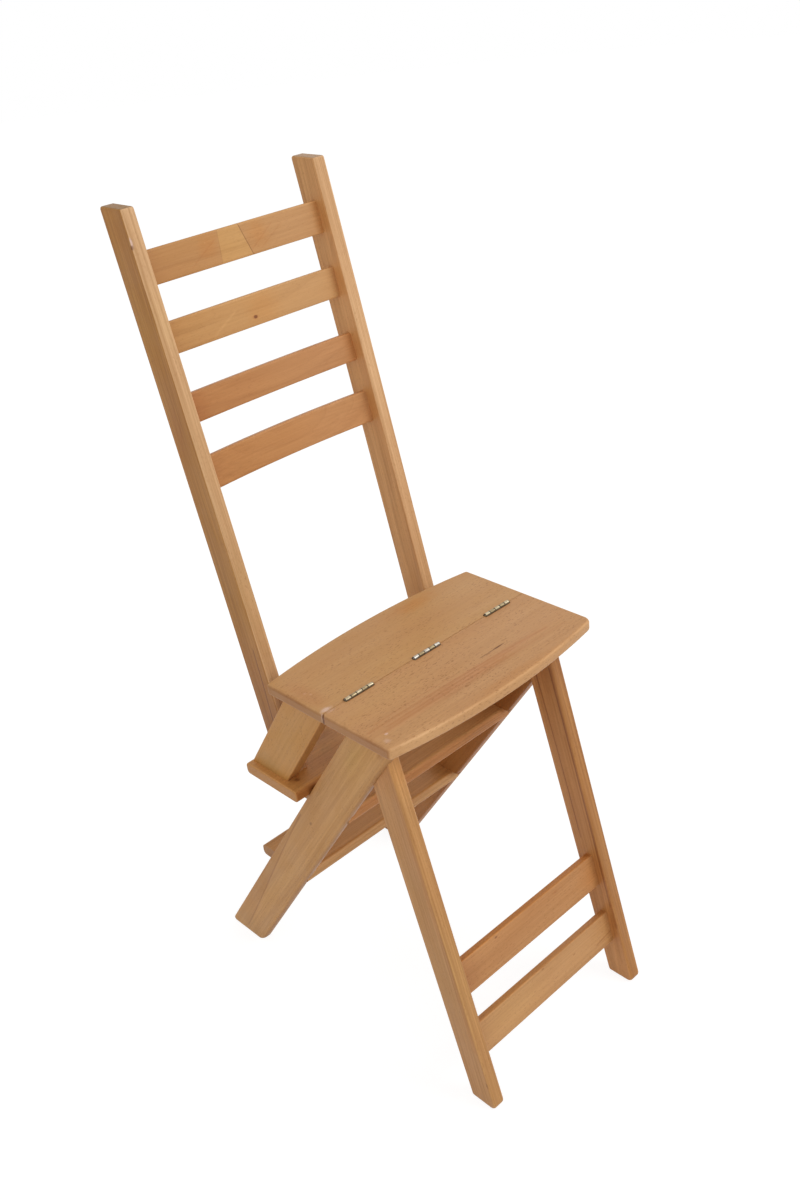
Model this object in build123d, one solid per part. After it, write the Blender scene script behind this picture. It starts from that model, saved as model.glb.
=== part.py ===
from build123d import *
import os
from math import atan, cos, degrees, hypot, radians, sin, tan

# Library step chair: a chair whose rear half turns over on hinges in the seat and becomes a set of steps.
# Millimetres. +Z is up and the chair's front faces -Y. It is drawn with the seat's split line at Y = 0,
# and moved at the end so that the origin is on the floor, in the middle of the chair's footprint.
# "Left" is the sitter's left hand, which is +X. Pieces in pairs are drawn on the left and mirrored.

# Seat
seat_height = 460.0
seat_width = 298.7
seat_thickness = 13.3
seat_front_depth = 95.1
seat_front_crown = 14.3
seat_rear_depth = 88.9
seat_rear_crown = 13.3
seat_corner_radius = 4.3
seat_worn_corner_radius = 10.0
seat_edge_radius = 3.8
split_gap = 0.6

# Hinges in the split line
hinge_length = 38.0
left_hinge_inset = 45.35
middle_hinge_offset = -4.8
right_hinge_inset = 49.15
hinge_lift = 0.25
leaf_width = 12.0
leaf_thickness = 1.2
knuckle_count = 5
knuckle_radius = 2.3
knuckle_end_gap = 0.15
barrel_clearance = 0.4
barrel_end_clearance = 0.6
pin_radius = 1.1
pin_clearance = 0.05
pin_chamfer = 0.3
screw_spacing = 23.0
screw_length = 12.0
screw_shank_radius = 1.1
screw_head_radius = 2.2
screw_tip = 2.0
screw_clearance = 0.05
screw_pilot_spare = 0.4
screw_slot_width = 0.6
screw_slot_depth = 0.5

# Timber sections
frame_thickness = 15.3
short_board_thickness = 16.0
long_board_width = 52.0
short_board_width = 50.0
board_angle = 35.2
arris_radius = 1.8
leg_arris_radius = 3.0
worn_arris_radius = 6.5

# Front legs
leg_stand_in = 5.8
leg_toe_reach = 170.7
leg_foot_width = 36.0
leg_head_reach = 55.0
leg_head_width = 41.5
leg_toe_radius = 7.0
leg_heel_radius = 3.5

# Long side boards, which carry the two lower treads and end in the rear feet
long_board_overhang = 16.05
long_board_head_reach = 86.0
long_board_toe_radius = 13.0
long_board_heel_radius = 4.0

# Treads
tread_thickness = 14.6
tread_depth = 83.3
tread_nose_radius = 5.0
tread_nose_inset = 1.0
tread_housing_depth = 8.2
middle_tread_drop = 147.2
lower_tread_drop = 138.5
top_tread_depth = 88.5
tread_rest_gap = 0.3
tread_stop_gap = 0.4

# Rungs between the front legs
rung_thickness = 10.5
rung_setback = 13.6
rung_edge_radius = 2.5
upper_rung_height = 171.2
upper_rung_width = 41.4
lower_rung_height = 95.3
lower_rung_width = 40.6

# Back uprights and the short side boards behind the seat
short_board_overhang = 7.75
upright_width = 36.5
upright_setback = 22.3
back_rake = 12.0
upright_foot_gap = 0.5
upright_corner_radius = 3.0
short_board_tail_inset = 3.6

# Back slats, from the top one down: how far each lies under the one above, its width and its rearward bow
slat_thickness = 9.6
slat_setback = 13.5
slat_edge_radius = 2.2
top_slat_drop = 40.4
upper_slat_pitch = 68.1
lower_slat_pitch = 70.5
bottom_slat_pitch = 64.1
top_slat_width = 33.8
upper_slat_width = 32.2
lower_slat_width = 30.5
bottom_slat_width = 35.3
top_slat_bow = 0.8
upper_slat_bow = 2.0
lower_slat_bow = 4.6
bottom_slat_bow = 8.7

# Glued joints
tenon_thickness = 5.6
tenon_length = 9.0
tenon_shoulder = 4.5
mortise_spare = 0.5
dowel_radius = 3.0
dowel_clearance = 0.05
seat_dowel_depth = 8.0
board_dowel_depth = 11.0
dowel_spare = 0.4
lap_dowel_depth = 8.0
lower_lap_dowel_rise = 15.0
upper_lap_dowel_rise = 34.0
head_dowel_shares = (0.28, 0.82)
tail_dowel_shares = (0.22, 0.68)
overrun = 5.0

# Places that follow from the sizes above
hinge_height = seat_height + hinge_lift
seat_underside = seat_height - seat_thickness
half_gap = split_gap / 2
board_slope = tan(radians(board_angle))
back_slope = tan(radians(back_rake))
long_board_outer_face = seat_width / 2 - long_board_overhang
long_board_inner_face = long_board_outer_face - frame_thickness
leg_outer_face = long_board_outer_face - leg_stand_in
leg_inner_face = leg_outer_face - frame_thickness
short_board_outer_face = seat_width / 2 - short_board_overhang
upright_outer_face = short_board_outer_face - short_board_thickness
upright_inner_face = upright_outer_face - frame_thickness
lap_plane = (leg_outer_face + long_board_inner_face) / 2
tread_end = long_board_inner_face + tread_housing_depth
middle_tread_height = seat_height - middle_tread_drop
lower_tread_height = middle_tread_height - lower_tread_drop
top_tread_underside = middle_tread_height + tread_rest_gap
top_tread_height = top_tread_underside + tread_thickness
upright_top = 2 * hinge_height - upright_foot_gap
upright_front_at_seat = seat_rear_depth + seat_rear_crown + upright_setback
long_board_level_width = long_board_width / cos(radians(board_angle))
short_board_level_width = short_board_width / cos(radians(board_angle))
upright_level_width = upright_width / cos(radians(back_rake))
leg_rake = degrees(atan((leg_toe_reach - leg_head_reach) / seat_height))


def leg_front(z):
    """Y of a front leg's front edge at height z."""
    return -leg_toe_reach + (leg_toe_reach - leg_head_reach) * z / seat_height


def leg_rear(z):
    """Y of a front leg's rear edge at height z."""
    foot = -leg_toe_reach + leg_foot_width
    head = -leg_head_reach + leg_head_width
    return foot + (head - foot) * z / seat_height


def long_board_front(z):
    """Y of a long side board's front edge at height z."""
    return -long_board_head_reach + board_slope * (seat_underside - z)


def long_board_rear(z):
    """Y of a long side board's rear edge at height z."""
    return long_board_front(z) + long_board_level_width


def upright_front(z):
    """Y of a back upright's front face at height z."""
    return upright_front_at_seat + back_slope * (z - seat_height)


def upright_rear(z):
    """Y of a back upright's rear face at height z."""
    return upright_front(z) + upright_level_width


# The top tread's lower nose stops just behind the long boards' sloping rear edges
nose_centre_height = top_tread_underside + tread_nose_radius
nose_stand_off = (tread_nose_radius + tread_stop_gap) * hypot(1, board_slope)
top_tread_front = long_board_rear(nose_centre_height) + nose_stand_off - tread_nose_radius
top_tread_rear = top_tread_front + top_tread_depth
short_board_tail = top_tread_rear - short_board_tail_inset


def short_board_rear(z):
    """Y of a short side board's rear edge at height z."""
    return short_board_tail - board_slope * (z - top_tread_height)


def short_board_front(z):
    """Y of a short side board's front edge at height z."""
    return short_board_rear(z) - short_board_level_width


def plate(profile, inner, outer):
    """A flat board whose outline lies in the Y-Z plane, between two planes across X."""
    return extrude(Plane.YZ.offset(inner) * profile, amount=outer - inner)


def outline(*points):
    """A closed outline through points of Y and Z."""
    return Polygon(*points, align=None)


def rounded_at(profile, corners):
    """The outline with a rounding at each corner of the table, which gives (Y, Z) and a radius."""
    for (y, z), radius in corners:
        corner = profile.vertices().sort_by_distance((y, z, 0))[0]
        profile = fillet(corner, radius)
    return profile


def box_between(low, high):
    """A box from its lowest to its highest corner."""
    size = [b - a for a, b in zip(low, high)]
    centre = [(a + b) / 2 for a, b in zip(low, high)]
    return Pos(*centre) * Box(*size)


def eased(board, levels, radius):
    """A board with its long edges rounded, apart from the ends at the given heights, which butt on wood."""
    edges = board.faces().filter_by(Axis.X).edges()
    for level in levels:
        edges = edges.filter_by(lambda edge, z=level: abs(edge.center().Z - z) > radius / 2)
    return fillet(edges, radius)


def both_sides(piece):
    """A left-hand piece and its mirror image on the right."""
    return {"left": piece, "right": mirror(piece, about=Plane.YZ)}


def mirrored_pair(pieces):
    """Pieces on the left and their mirror images on the right, in one list."""
    return pieces + [mirror(piece, about=Plane.YZ) for piece in pieces]


def dowel_along(start, direction, length):
    """A round dowel from its start point along a direction."""
    place = Plane(origin=start, z_dir=direction)
    return place * Cylinder(dowel_radius, length, align=(Align.CENTER, Align.CENTER, Align.MIN))


def dowel_socket(start, direction, length):
    """The hole that a dowel is glued into, a little deeper than the dowel at both ends."""
    place = Plane(origin=start, z_dir=direction).offset(-dowel_spare)
    depth = length + 2 * dowel_spare
    hole = Cylinder(dowel_radius + dowel_clearance, depth, align=(Align.CENTER, Align.CENTER, Align.MIN))
    return place * hole


def cross_piece(front_at, half_length, top, width, thickness, setback, bow, rake, edge_radius):
    """A slat or rung between two raked members, as (piece, its two mortises).

    It lies parallel to the members' front faces and is set back from them. Its ends are cut square
    and have stub tenons. A bow bends it rearwards between its ends.
    """
    lean = radians(rake)
    face = Plane(origin=(0, front_at(top), top), x_dir=(1, 0, 0), z_dir=(0, sin(lean), cos(lean)))
    front_left, front_right = (half_length, setback), (-half_length, setback)
    rear_left, rear_right = (half_length, setback + thickness), (-half_length, setback + thickness)
    if bow:
        front = ThreePointArc(front_left, (0, setback + bow), front_right)
        rear = ThreePointArc(rear_right, (0, setback + thickness + bow), rear_left)
    else:
        front = Line(front_left, front_right)
        rear = Line(rear_right, rear_left)
    band = make_face([front, Line(front_right, rear_right), rear, Line(rear_left, front_left)])
    piece = extrude(face * band, amount=-width)
    piece = fillet(piece.edges().filter_by(lambda edge: edge.length > half_length), edge_radius)
    middle = setback + thickness / 2
    cheek = tenon_thickness / 2
    mortises = []
    for end, depth in ((half_length, tenon_length), (-half_length, -tenon_length)):
        spare = mortise_spare if depth > 0 else -mortise_spare
        root = end - spare
        low_y, high_y = middle - cheek, middle + cheek
        low_z, high_z = tenon_shoulder - width, -tenon_shoulder
        piece += face * box_between(
            (min(root, end + depth), low_y, low_z), (max(root, end + depth), high_y, high_z))
        bottom = end + depth + spare
        mortises.append(face * box_between(
            (min(end, bottom), low_y, low_z), (max(end, bottom), high_y, high_z)))
    return piece, mortises


def seat_half(depth, crown, rear, left_radius, right_radius):
    """One half of the seat: a bowed nose, rounded corners and a straight edge at the split line."""
    side = seat_width / 2
    way = 1 if rear else -1
    near, far, tip = way * half_gap, way * depth, way * (depth + crown)
    plan = make_face([
        Line((-side, near), (-side, far)),
        ThreePointArc((-side, far), (0, tip), (side, far)),
        Line((side, far), (side, near)),
        Line((side, near), (-side, near))])
    for x, radius in ((side, left_radius), (-side, right_radius)):
        corner = plan.vertices().sort_by_distance((x, far, 0))[0]
        plan = fillet(corner, radius)
    board = extrude(Pos(0, 0, seat_underside) * plan, amount=seat_thickness)
    rims = board.faces().filter_by(Axis.Z).edges()
    rims = rims.filter_by(lambda edge: abs(edge.center().Y - near) > half_gap)
    return fillet(rims, seat_edge_radius)


# Hinges: drawn about their pin's axis, at the origin, with the front leaf on the -Y side
def knuckle_span(index, gap):
    """Start and length along X of one knuckle's place on the barrel, short of its ends by a gap."""
    pitch = hinge_length / knuckle_count
    return -hinge_length / 2 + index * pitch + gap, pitch - 2 * gap


def barrel(index, radius, gap):
    """A length of round bar on the pin's axis, as long as one knuckle."""
    start, length = knuckle_span(index, gap)
    return Pos(start, 0, 0) * Rot(0, 90, 0) * Cylinder(
        radius, length, align=(Align.CENTER, Align.CENTER, Align.MIN))


def leaf_screw():
    """A countersunk wood screw along +Z, with its slotted head's face at the origin."""
    sink = screw_head_radius - screw_shank_radius
    section = make_face(Polyline(
        (0, 0), (screw_head_radius, 0), (screw_shank_radius, sink),
        (screw_shank_radius, screw_length - screw_tip), (0, screw_length), close=True))
    slot = box_between(
        (-screw_head_radius, -screw_slot_width / 2, -overrun),
        (screw_head_radius, screw_slot_width / 2, screw_slot_depth))
    return revolve(Plane.XZ * section, Axis.Z) - slot


def leaf_screw_hole():
    """The countersunk hole in a leaf, clear of the screw all round."""
    head, shank = screw_head_radius + screw_clearance, screw_shank_radius + screw_clearance
    section = make_face(Polyline(
        (0, 0), (head, 0), (shank, head - shank), (shank, leaf_thickness + screw_clearance),
        (0, leaf_thickness + screw_clearance), close=True))
    return revolve(Plane.XZ * section, Axis.Z)


def leaf_screw_pilot():
    """The hole in the seat's edge behind a leaf, a little deeper than the screw."""
    radius = screw_shank_radius + screw_clearance
    return Cylinder(radius, screw_length + screw_pilot_spare, align=(Align.CENTER, Align.CENTER, Align.MIN))


def leaf_screw_places(way):
    """Where a leaf's screws stand, facing into the seat's edge."""
    drop = (leaf_width + knuckle_radius) / 2
    return [
        Plane(origin=(x, way * half_gap, -drop), z_dir=(0, way, 0))
        for x in (-screw_spacing / 2, screw_spacing / 2)]


def hinge_leaf(way, notched):
    """One leaf: a plate let into the seat's edge, with knuckles, screw holes and notches.

    The notches leave room for the other leaf's knuckles: at the odd places where notched is 1,
    and at the even ones where it is 0.
    """
    inside, outside = way * half_gap, way * (half_gap + leaf_thickness)
    leaf = box_between(
        (-hinge_length / 2, min(inside, outside), -leaf_width),
        (hinge_length / 2, max(inside, outside), 0))
    for index in range(knuckle_count):
        if index % 2 == notched:
            leaf -= barrel(index, knuckle_radius + barrel_clearance, -knuckle_end_gap)
    for index in range(knuckle_count):
        if index % 2 != notched:
            leaf += barrel(index, knuckle_radius, knuckle_end_gap)
    for index in range(knuckle_count):
        leaf -= barrel(index, pin_radius + pin_clearance, -knuckle_end_gap)
    for place in leaf_screw_places(way):
        leaf -= place * leaf_screw_hole()
    return leaf


def hinge_pin():
    """The pin on which both leaves turn, as long as the barrel."""
    pin = Rot(0, 90, 0) * Cylinder(pin_radius, hinge_length)
    return chamfer(pin.edges().filter_by(GeomType.CIRCLE), pin_chamfer)


def hinge_recess(way):
    """What is cut from the seat's edge for a hinge: the barrel's hollow, the leaf's bed and pilot holes."""
    reach = hinge_length / 2 + barrel_end_clearance
    hollow = Rot(0, 90, 0) * Cylinder(knuckle_radius + barrel_clearance, 2 * reach)
    edge, back = 0, way * (half_gap + leaf_thickness)
    bed = box_between(
        (-hinge_length / 2, min(edge, back), -leaf_width),
        (hinge_length / 2, max(edge, back), 0))
    holes = [place * leaf_screw_pilot() for place in leaf_screw_places(way)]
    return [hollow, bed] + holes


hinge_places = {
    "left": seat_width / 2 - left_hinge_inset,
    "middle": middle_hinge_offset,
    "right": right_hinge_inset - seat_width / 2}
hinge_centres = {name: Pos(x, 0, hinge_height) for name, x in hinge_places.items()}

parts = {}

# Hinge leaves, pins and screws
for name, centre in hinge_centres.items():
    parts[f"hinge_front_leaf_{name}"] = centre * hinge_leaf(-1, 1)
    parts[f"hinge_rear_leaf_{name}"] = centre * hinge_leaf(1, 0)
parts["hinge_pins"] = [centre * hinge_pin() for centre in hinge_centres.values()]
for node, way in (("front_leaf_screws", -1), ("rear_leaf_screws", 1)):
    parts[node] = [
        centre * (place * leaf_screw())
        for centre in hinge_centres.values() for place in leaf_screw_places(way)]

# Outlines of the side members
leg_outline = outline(
    (leg_front(0), 0), (leg_rear(0), 0),
    (leg_rear(seat_underside), seat_underside), (leg_front(seat_underside), seat_underside))
long_board_outline = outline(
    (long_board_front(0), 0), (long_board_rear(0), 0),
    (long_board_rear(seat_underside), seat_underside), (long_board_front(seat_underside), seat_underside))
short_board_outline = outline(
    (short_board_front(top_tread_height), top_tread_height),
    (short_board_rear(top_tread_height), top_tread_height),
    (short_board_rear(seat_underside), seat_underside),
    (short_board_front(seat_underside), seat_underside))
upright_outline = outline(
    (upright_front(top_tread_height), top_tread_height),
    (upright_rear(top_tread_height), top_tread_height),
    (upright_rear(upright_top), upright_top), (upright_front(upright_top), upright_top))

# Front legs and long side boards, halved into each other where they cross under the seat
leg = plate(
    rounded_at(leg_outline, (
        ((leg_front(0), 0), leg_toe_radius), ((leg_rear(0), 0), leg_heel_radius))),
    leg_inner_face, leg_outer_face)
leg = eased(leg, [seat_underside], leg_arris_radius)
leg -= plate(long_board_outline, lap_plane, leg_outer_face + overrun)
board_blank = plate(
    rounded_at(long_board_outline, (
        ((long_board_front(0), 0), long_board_toe_radius),
        ((long_board_rear(0), 0), long_board_heel_radius))),
    long_board_inner_face, long_board_outer_face)


def worn_bar():
    """A bar as wide and thick as a long board, with the front edge worn round along its whole length."""
    lean = radians(board_angle)
    head = seat_underside + long_board_width
    along = Plane(
        origin=(0, long_board_front(head), head), x_dir=(1, 0, 0), z_dir=(0, sin(lean), -cos(lean)))
    inner, outer = long_board_inner_face, long_board_outer_face
    section = rounded_at(
        outline((inner, -long_board_width), (outer, -long_board_width), (outer, 0), (inner, 0)), (
            ((inner, 0), worn_arris_radius), ((outer, 0), worn_arris_radius),
            ((inner, -long_board_width), arris_radius), ((outer, -long_board_width), arris_radius)))
    return extrude(along * section, amount=(head + long_board_width) / cos(lean))


def cut_from(boards, tool):
    """The boards of a table, each with the same piece cut away."""
    return {side: board - tool for side, board in boards.items()}


# Both long boards are drawn on the left: the right one's front edge is worn rounder than the left one's
long_boards = {
    "left": eased(board_blank, [seat_underside], arris_radius),
    "right": board_blank & worn_bar()}
long_boards = cut_from(long_boards, plate(leg_outline, long_board_inner_face - overrun, lap_plane))

# Rear half's side members
short_board = plate(short_board_outline, upright_outer_face, short_board_outer_face)
short_board = eased(short_board, [seat_underside, top_tread_height], arris_radius)
upright = plate(
    rounded_at(upright_outline, (
        ((upright_front(upright_top), upright_top), upright_corner_radius),
        ((upright_rear(upright_top), upright_top), upright_corner_radius))),
    upright_inner_face, upright_outer_face)
upright = eased(upright, [top_tread_height], arris_radius)


# Treads
def tread(front, depth, height, half_length):
    """A level board with a rounded nose at its front and rear."""
    board = box_between(
        (-half_length, front, height - tread_thickness), (half_length, front + depth, height))
    noses = board.edges().filter_by(Axis.X)
    return fillet(noses, tread_nose_radius)


for node, height in (("lower_tread", lower_tread_height), ("middle_tread", middle_tread_height)):
    nose = long_board_front(height - tread_thickness / 2) + tread_nose_inset
    parts[node] = tread(nose, tread_depth, height, tread_end)
    long_boards = cut_from(long_boards, box_between(
        (0, nose - overrun - tread_thickness, height - tread_thickness),
        (tread_end, nose + tread_depth + overrun, height)))
top_tread = tread(top_tread_front, top_tread_depth, top_tread_height, seat_width / 2)
top_tread = fillet(top_tread.faces().filter_by(Axis.X).edges(), arris_radius)

# Rungs, tenoned into the front legs
for node, height, width in (
        ("upper_rung", upper_rung_height, upper_rung_width),
        ("lower_rung", lower_rung_height, lower_rung_width)):
    parts[node], mortises = cross_piece(
        leg_front, leg_inner_face, height, width, rung_thickness, rung_setback, 0,
        leg_rake, rung_edge_radius)
    for mortise in mortises:
        leg -= mortise

# Back slats, tenoned into the uprights
slat_height = upright_top - top_slat_drop
for node, step, width, bow in (
        ("top_back_slat", 0, top_slat_width, top_slat_bow),
        ("upper_back_slat", upper_slat_pitch, upper_slat_width, upper_slat_bow),
        ("lower_back_slat", lower_slat_pitch, lower_slat_width, lower_slat_bow),
        ("bottom_back_slat", bottom_slat_pitch, bottom_slat_width, bottom_slat_bow)):
    slat_height -= step
    parts[node], mortises = cross_piece(
        upright_front, upright_inner_face, slat_height, width, slat_thickness, slat_setback, bow,
        back_rake, slat_edge_radius)
    for mortise in mortises:
        upright -= mortise

# Seat halves
seat_front = seat_half(
    seat_front_depth, seat_front_crown, False, seat_worn_corner_radius, seat_corner_radius)
seat_rear = seat_half(seat_rear_depth, seat_rear_crown, True, seat_corner_radius, seat_corner_radius)
for centre in hinge_centres.values():
    for tool in hinge_recess(-1):
        seat_front -= centre * tool
    for tool in hinge_recess(1):
        seat_rear -= centre * tool


# Dowels that hold the seat halves and the top tread to the side members
def spread(front, rear, shares):
    """Places between a front and a rear edge, from a table of shares."""
    return [front + share * (rear - front) for share in shares]


def head_dowels(x, front, rear, shares):
    """Start points of upright dowels at a member's head, under the seat."""
    return [(x, y, seat_underside - board_dowel_depth) for y in spread(front, rear, shares)]


head_length = seat_dowel_depth + board_dowel_depth
long_board_head = (long_board_front(seat_underside), long_board_rear(seat_underside))
short_board_head = (short_board_front(seat_underside), short_board_rear(seat_underside))
short_board_foot = (short_board_front(top_tread_height), short_board_rear(top_tread_height))
leg_head_middle = (leg_front(seat_underside) + leg_rear(seat_underside)) / 2
half_lapped_board = (lap_plane + long_board_outer_face) / 2
half_lapped_leg = (leg_inner_face + lap_plane) / 2
short_board_middle = (upright_outer_face + short_board_outer_face) / 2
upright_middle = (upright_inner_face + upright_outer_face) / 2

long_board_starts = head_dowels(half_lapped_board, *long_board_head, head_dowel_shares)
leg_starts = [(half_lapped_leg, leg_head_middle, seat_underside - board_dowel_depth)]
short_board_starts = head_dowels(short_board_middle, *short_board_head, head_dowel_shares)
tail_height = top_tread_height - seat_dowel_depth
tail_starts = [(short_board_middle, y, tail_height) for y in spread(*short_board_foot, tail_dowel_shares)]
upright_foot_middle = upright_front(top_tread_height) + upright_level_width / 2
upright_starts = [(upright_middle, upright_foot_middle, tail_height)]
upward = (0, 0, 1)

seat_front_dowels = mirrored_pair(
    [dowel_along(start, upward, head_length) for start in long_board_starts + leg_starts])
for start in long_board_starts:
    long_boards = cut_from(long_boards, dowel_socket(start, upward, head_length))
for start in leg_starts:
    leg -= dowel_socket(start, upward, head_length)
for socket in mirrored_pair(
        [dowel_socket(start, upward, head_length) for start in long_board_starts + leg_starts]):
    seat_front -= socket

seat_rear_dowels = mirrored_pair(
    [dowel_along(start, upward, head_length) for start in short_board_starts])
for start in short_board_starts:
    short_board -= dowel_socket(start, upward, head_length)
for socket in mirrored_pair([dowel_socket(start, upward, head_length) for start in short_board_starts]):
    seat_rear -= socket

top_tread_dowels = mirrored_pair(
    [dowel_along(start, upward, head_length) for start in tail_starts + upright_starts])
for start in tail_starts:
    short_board -= dowel_socket(start, upward, head_length)
for start in upright_starts:
    upright -= dowel_socket(start, upward, head_length)
for socket in mirrored_pair(
        [dowel_socket(start, upward, head_length) for start in tail_starts + upright_starts]):
    top_tread -= socket

# Dowels across the lap between each upright and its short side board
lap_starts = []
for rise in (lower_lap_dowel_rise, upper_lap_dowel_rise):
    z = top_tread_height + rise
    y = (upright_front(z) + min(upright_rear(z), short_board_rear(z))) / 2
    lap_starts.append((upright_outer_face - lap_dowel_depth, y, z))
outward = (1, 0, 0)
upright_lap_dowels = mirrored_pair(
    [dowel_along(start, outward, 2 * lap_dowel_depth) for start in lap_starts])
for start in lap_starts:
    socket = dowel_socket(start, outward, 2 * lap_dowel_depth)
    upright -= socket
    short_board -= socket

parts["seat_front"] = seat_front
parts["seat_rear"] = seat_rear
parts["top_tread"] = top_tread
parts["seat_front_dowels"] = seat_front_dowels
parts["seat_rear_dowels"] = seat_rear_dowels
parts["top_tread_dowels"] = top_tread_dowels
parts["upright_lap_dowels"] = upright_lap_dowels
for node, piece in (("front_leg", leg), ("short_side_board", short_board), ("back_upright", upright)):
    for side, solid in both_sides(piece).items():
        parts[f"{node}_{side}"] = solid
parts["long_side_board_left"] = long_boards["left"]
parts["long_side_board_right"] = mirror(long_boards["right"], about=Plane.YZ)

# The origin goes to the floor, midway between the chair's foremost and rearmost points
solids = {node: (piece if isinstance(piece, list) else [piece]) for node, piece in parts.items()}
whole = Compound(children=[solid for group in solids.values() for solid in group]).bounding_box()
origin_shift = Pos(0, -(whole.min.Y + whole.max.Y) / 2, 0)
print(f"split line at Y = {origin_shift.position.Y:.4f}, hinge axis at Z = {hinge_height:.4f}")

os.makedirs("parts", exist_ok=True)
for node, group in solids.items():
    export_step(Compound(children=[origin_shift * solid for solid in group]), f"parts/{node}.step")
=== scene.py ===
"""Looks of the library step chair.

A beech chair whose split seat folds over on three butt hinges into a set of library steps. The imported
model is the fixed frame. Each of its nodes gets a finish here: lacquered beech with the run of grain
that its board has, bare dowels, worn hinge plate and screw steel. A studio and a camera go round it.
"""

import logging
from dataclasses import dataclass, replace
from enum import Enum
from math import cos, radians, sin

import bmesh
import bpy
from mathutils import Matrix, Vector


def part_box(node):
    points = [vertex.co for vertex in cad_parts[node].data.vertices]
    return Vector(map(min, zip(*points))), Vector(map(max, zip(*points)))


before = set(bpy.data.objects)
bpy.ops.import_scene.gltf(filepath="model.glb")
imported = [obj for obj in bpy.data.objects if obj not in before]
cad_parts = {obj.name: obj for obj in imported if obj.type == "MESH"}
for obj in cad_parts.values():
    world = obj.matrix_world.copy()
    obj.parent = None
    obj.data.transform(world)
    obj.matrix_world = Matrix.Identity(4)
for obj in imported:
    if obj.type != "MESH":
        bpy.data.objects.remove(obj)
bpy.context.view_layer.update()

LOG = logging.getLogger("library_step_chair")

Colour = tuple[float, float, float]
Triple = tuple[float, float, float]
Value = object

BACK_RAKE = 12.0
LEG_RAKE = 14.1
BOARD_ANGLE = 35.2


def shade(red: float, green: float, blue: float) -> Colour:
    """Turns a colour as a screen shows it into the linear one that a shader takes.

    Args:
        red: Red from 0 to 255.
        green: Green from 0 to 255.
        blue: Blue from 0 to 255.

    Returns:
        The linear colour, each part from 0 to 1.
    """
    parts = []
    for level in (red, green, blue):
        share = level / 255
        parts.append(share / 12.92 if share <= 0.04045 else ((share + 0.055) / 1.055) ** 2.4)
    return tuple(parts)


class Run(Enum):
    """Which way a piece lies: its grain, its width and its thickness."""

    FLAT = "grain from side to side, lying level"
    SLAT = "grain from side to side, standing along the back"
    RUNG = "grain from side to side, standing along the legs"
    LEG = "grain up a front leg"
    UPRIGHT = "grain up a back upright"
    BOARD = "grain down a sloping side board"

    def axes(self) -> Matrix:
        """Returns the turn from the piece's own axes to the frame's, grain along its own X."""
        lean = {Run.SLAT: BACK_RAKE, Run.RUNG: LEG_RAKE, Run.LEG: LEG_RAKE, Run.UPRIGHT: BACK_RAKE,
                Run.BOARD: 180 - BOARD_ANGLE, Run.FLAT: 90}[self]
        rise = Vector((0, sin(radians(lean)), cos(radians(lean))))
        side = Vector((1, 0, 0))
        if self in (Run.FLAT, Run.SLAT, Run.RUNG):
            grain, width = side, rise
        else:
            grain, width = rise, rise.cross(side) * -1
        depth = grain.cross(width)
        return Matrix((grain, width, depth)).transposed()


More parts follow.
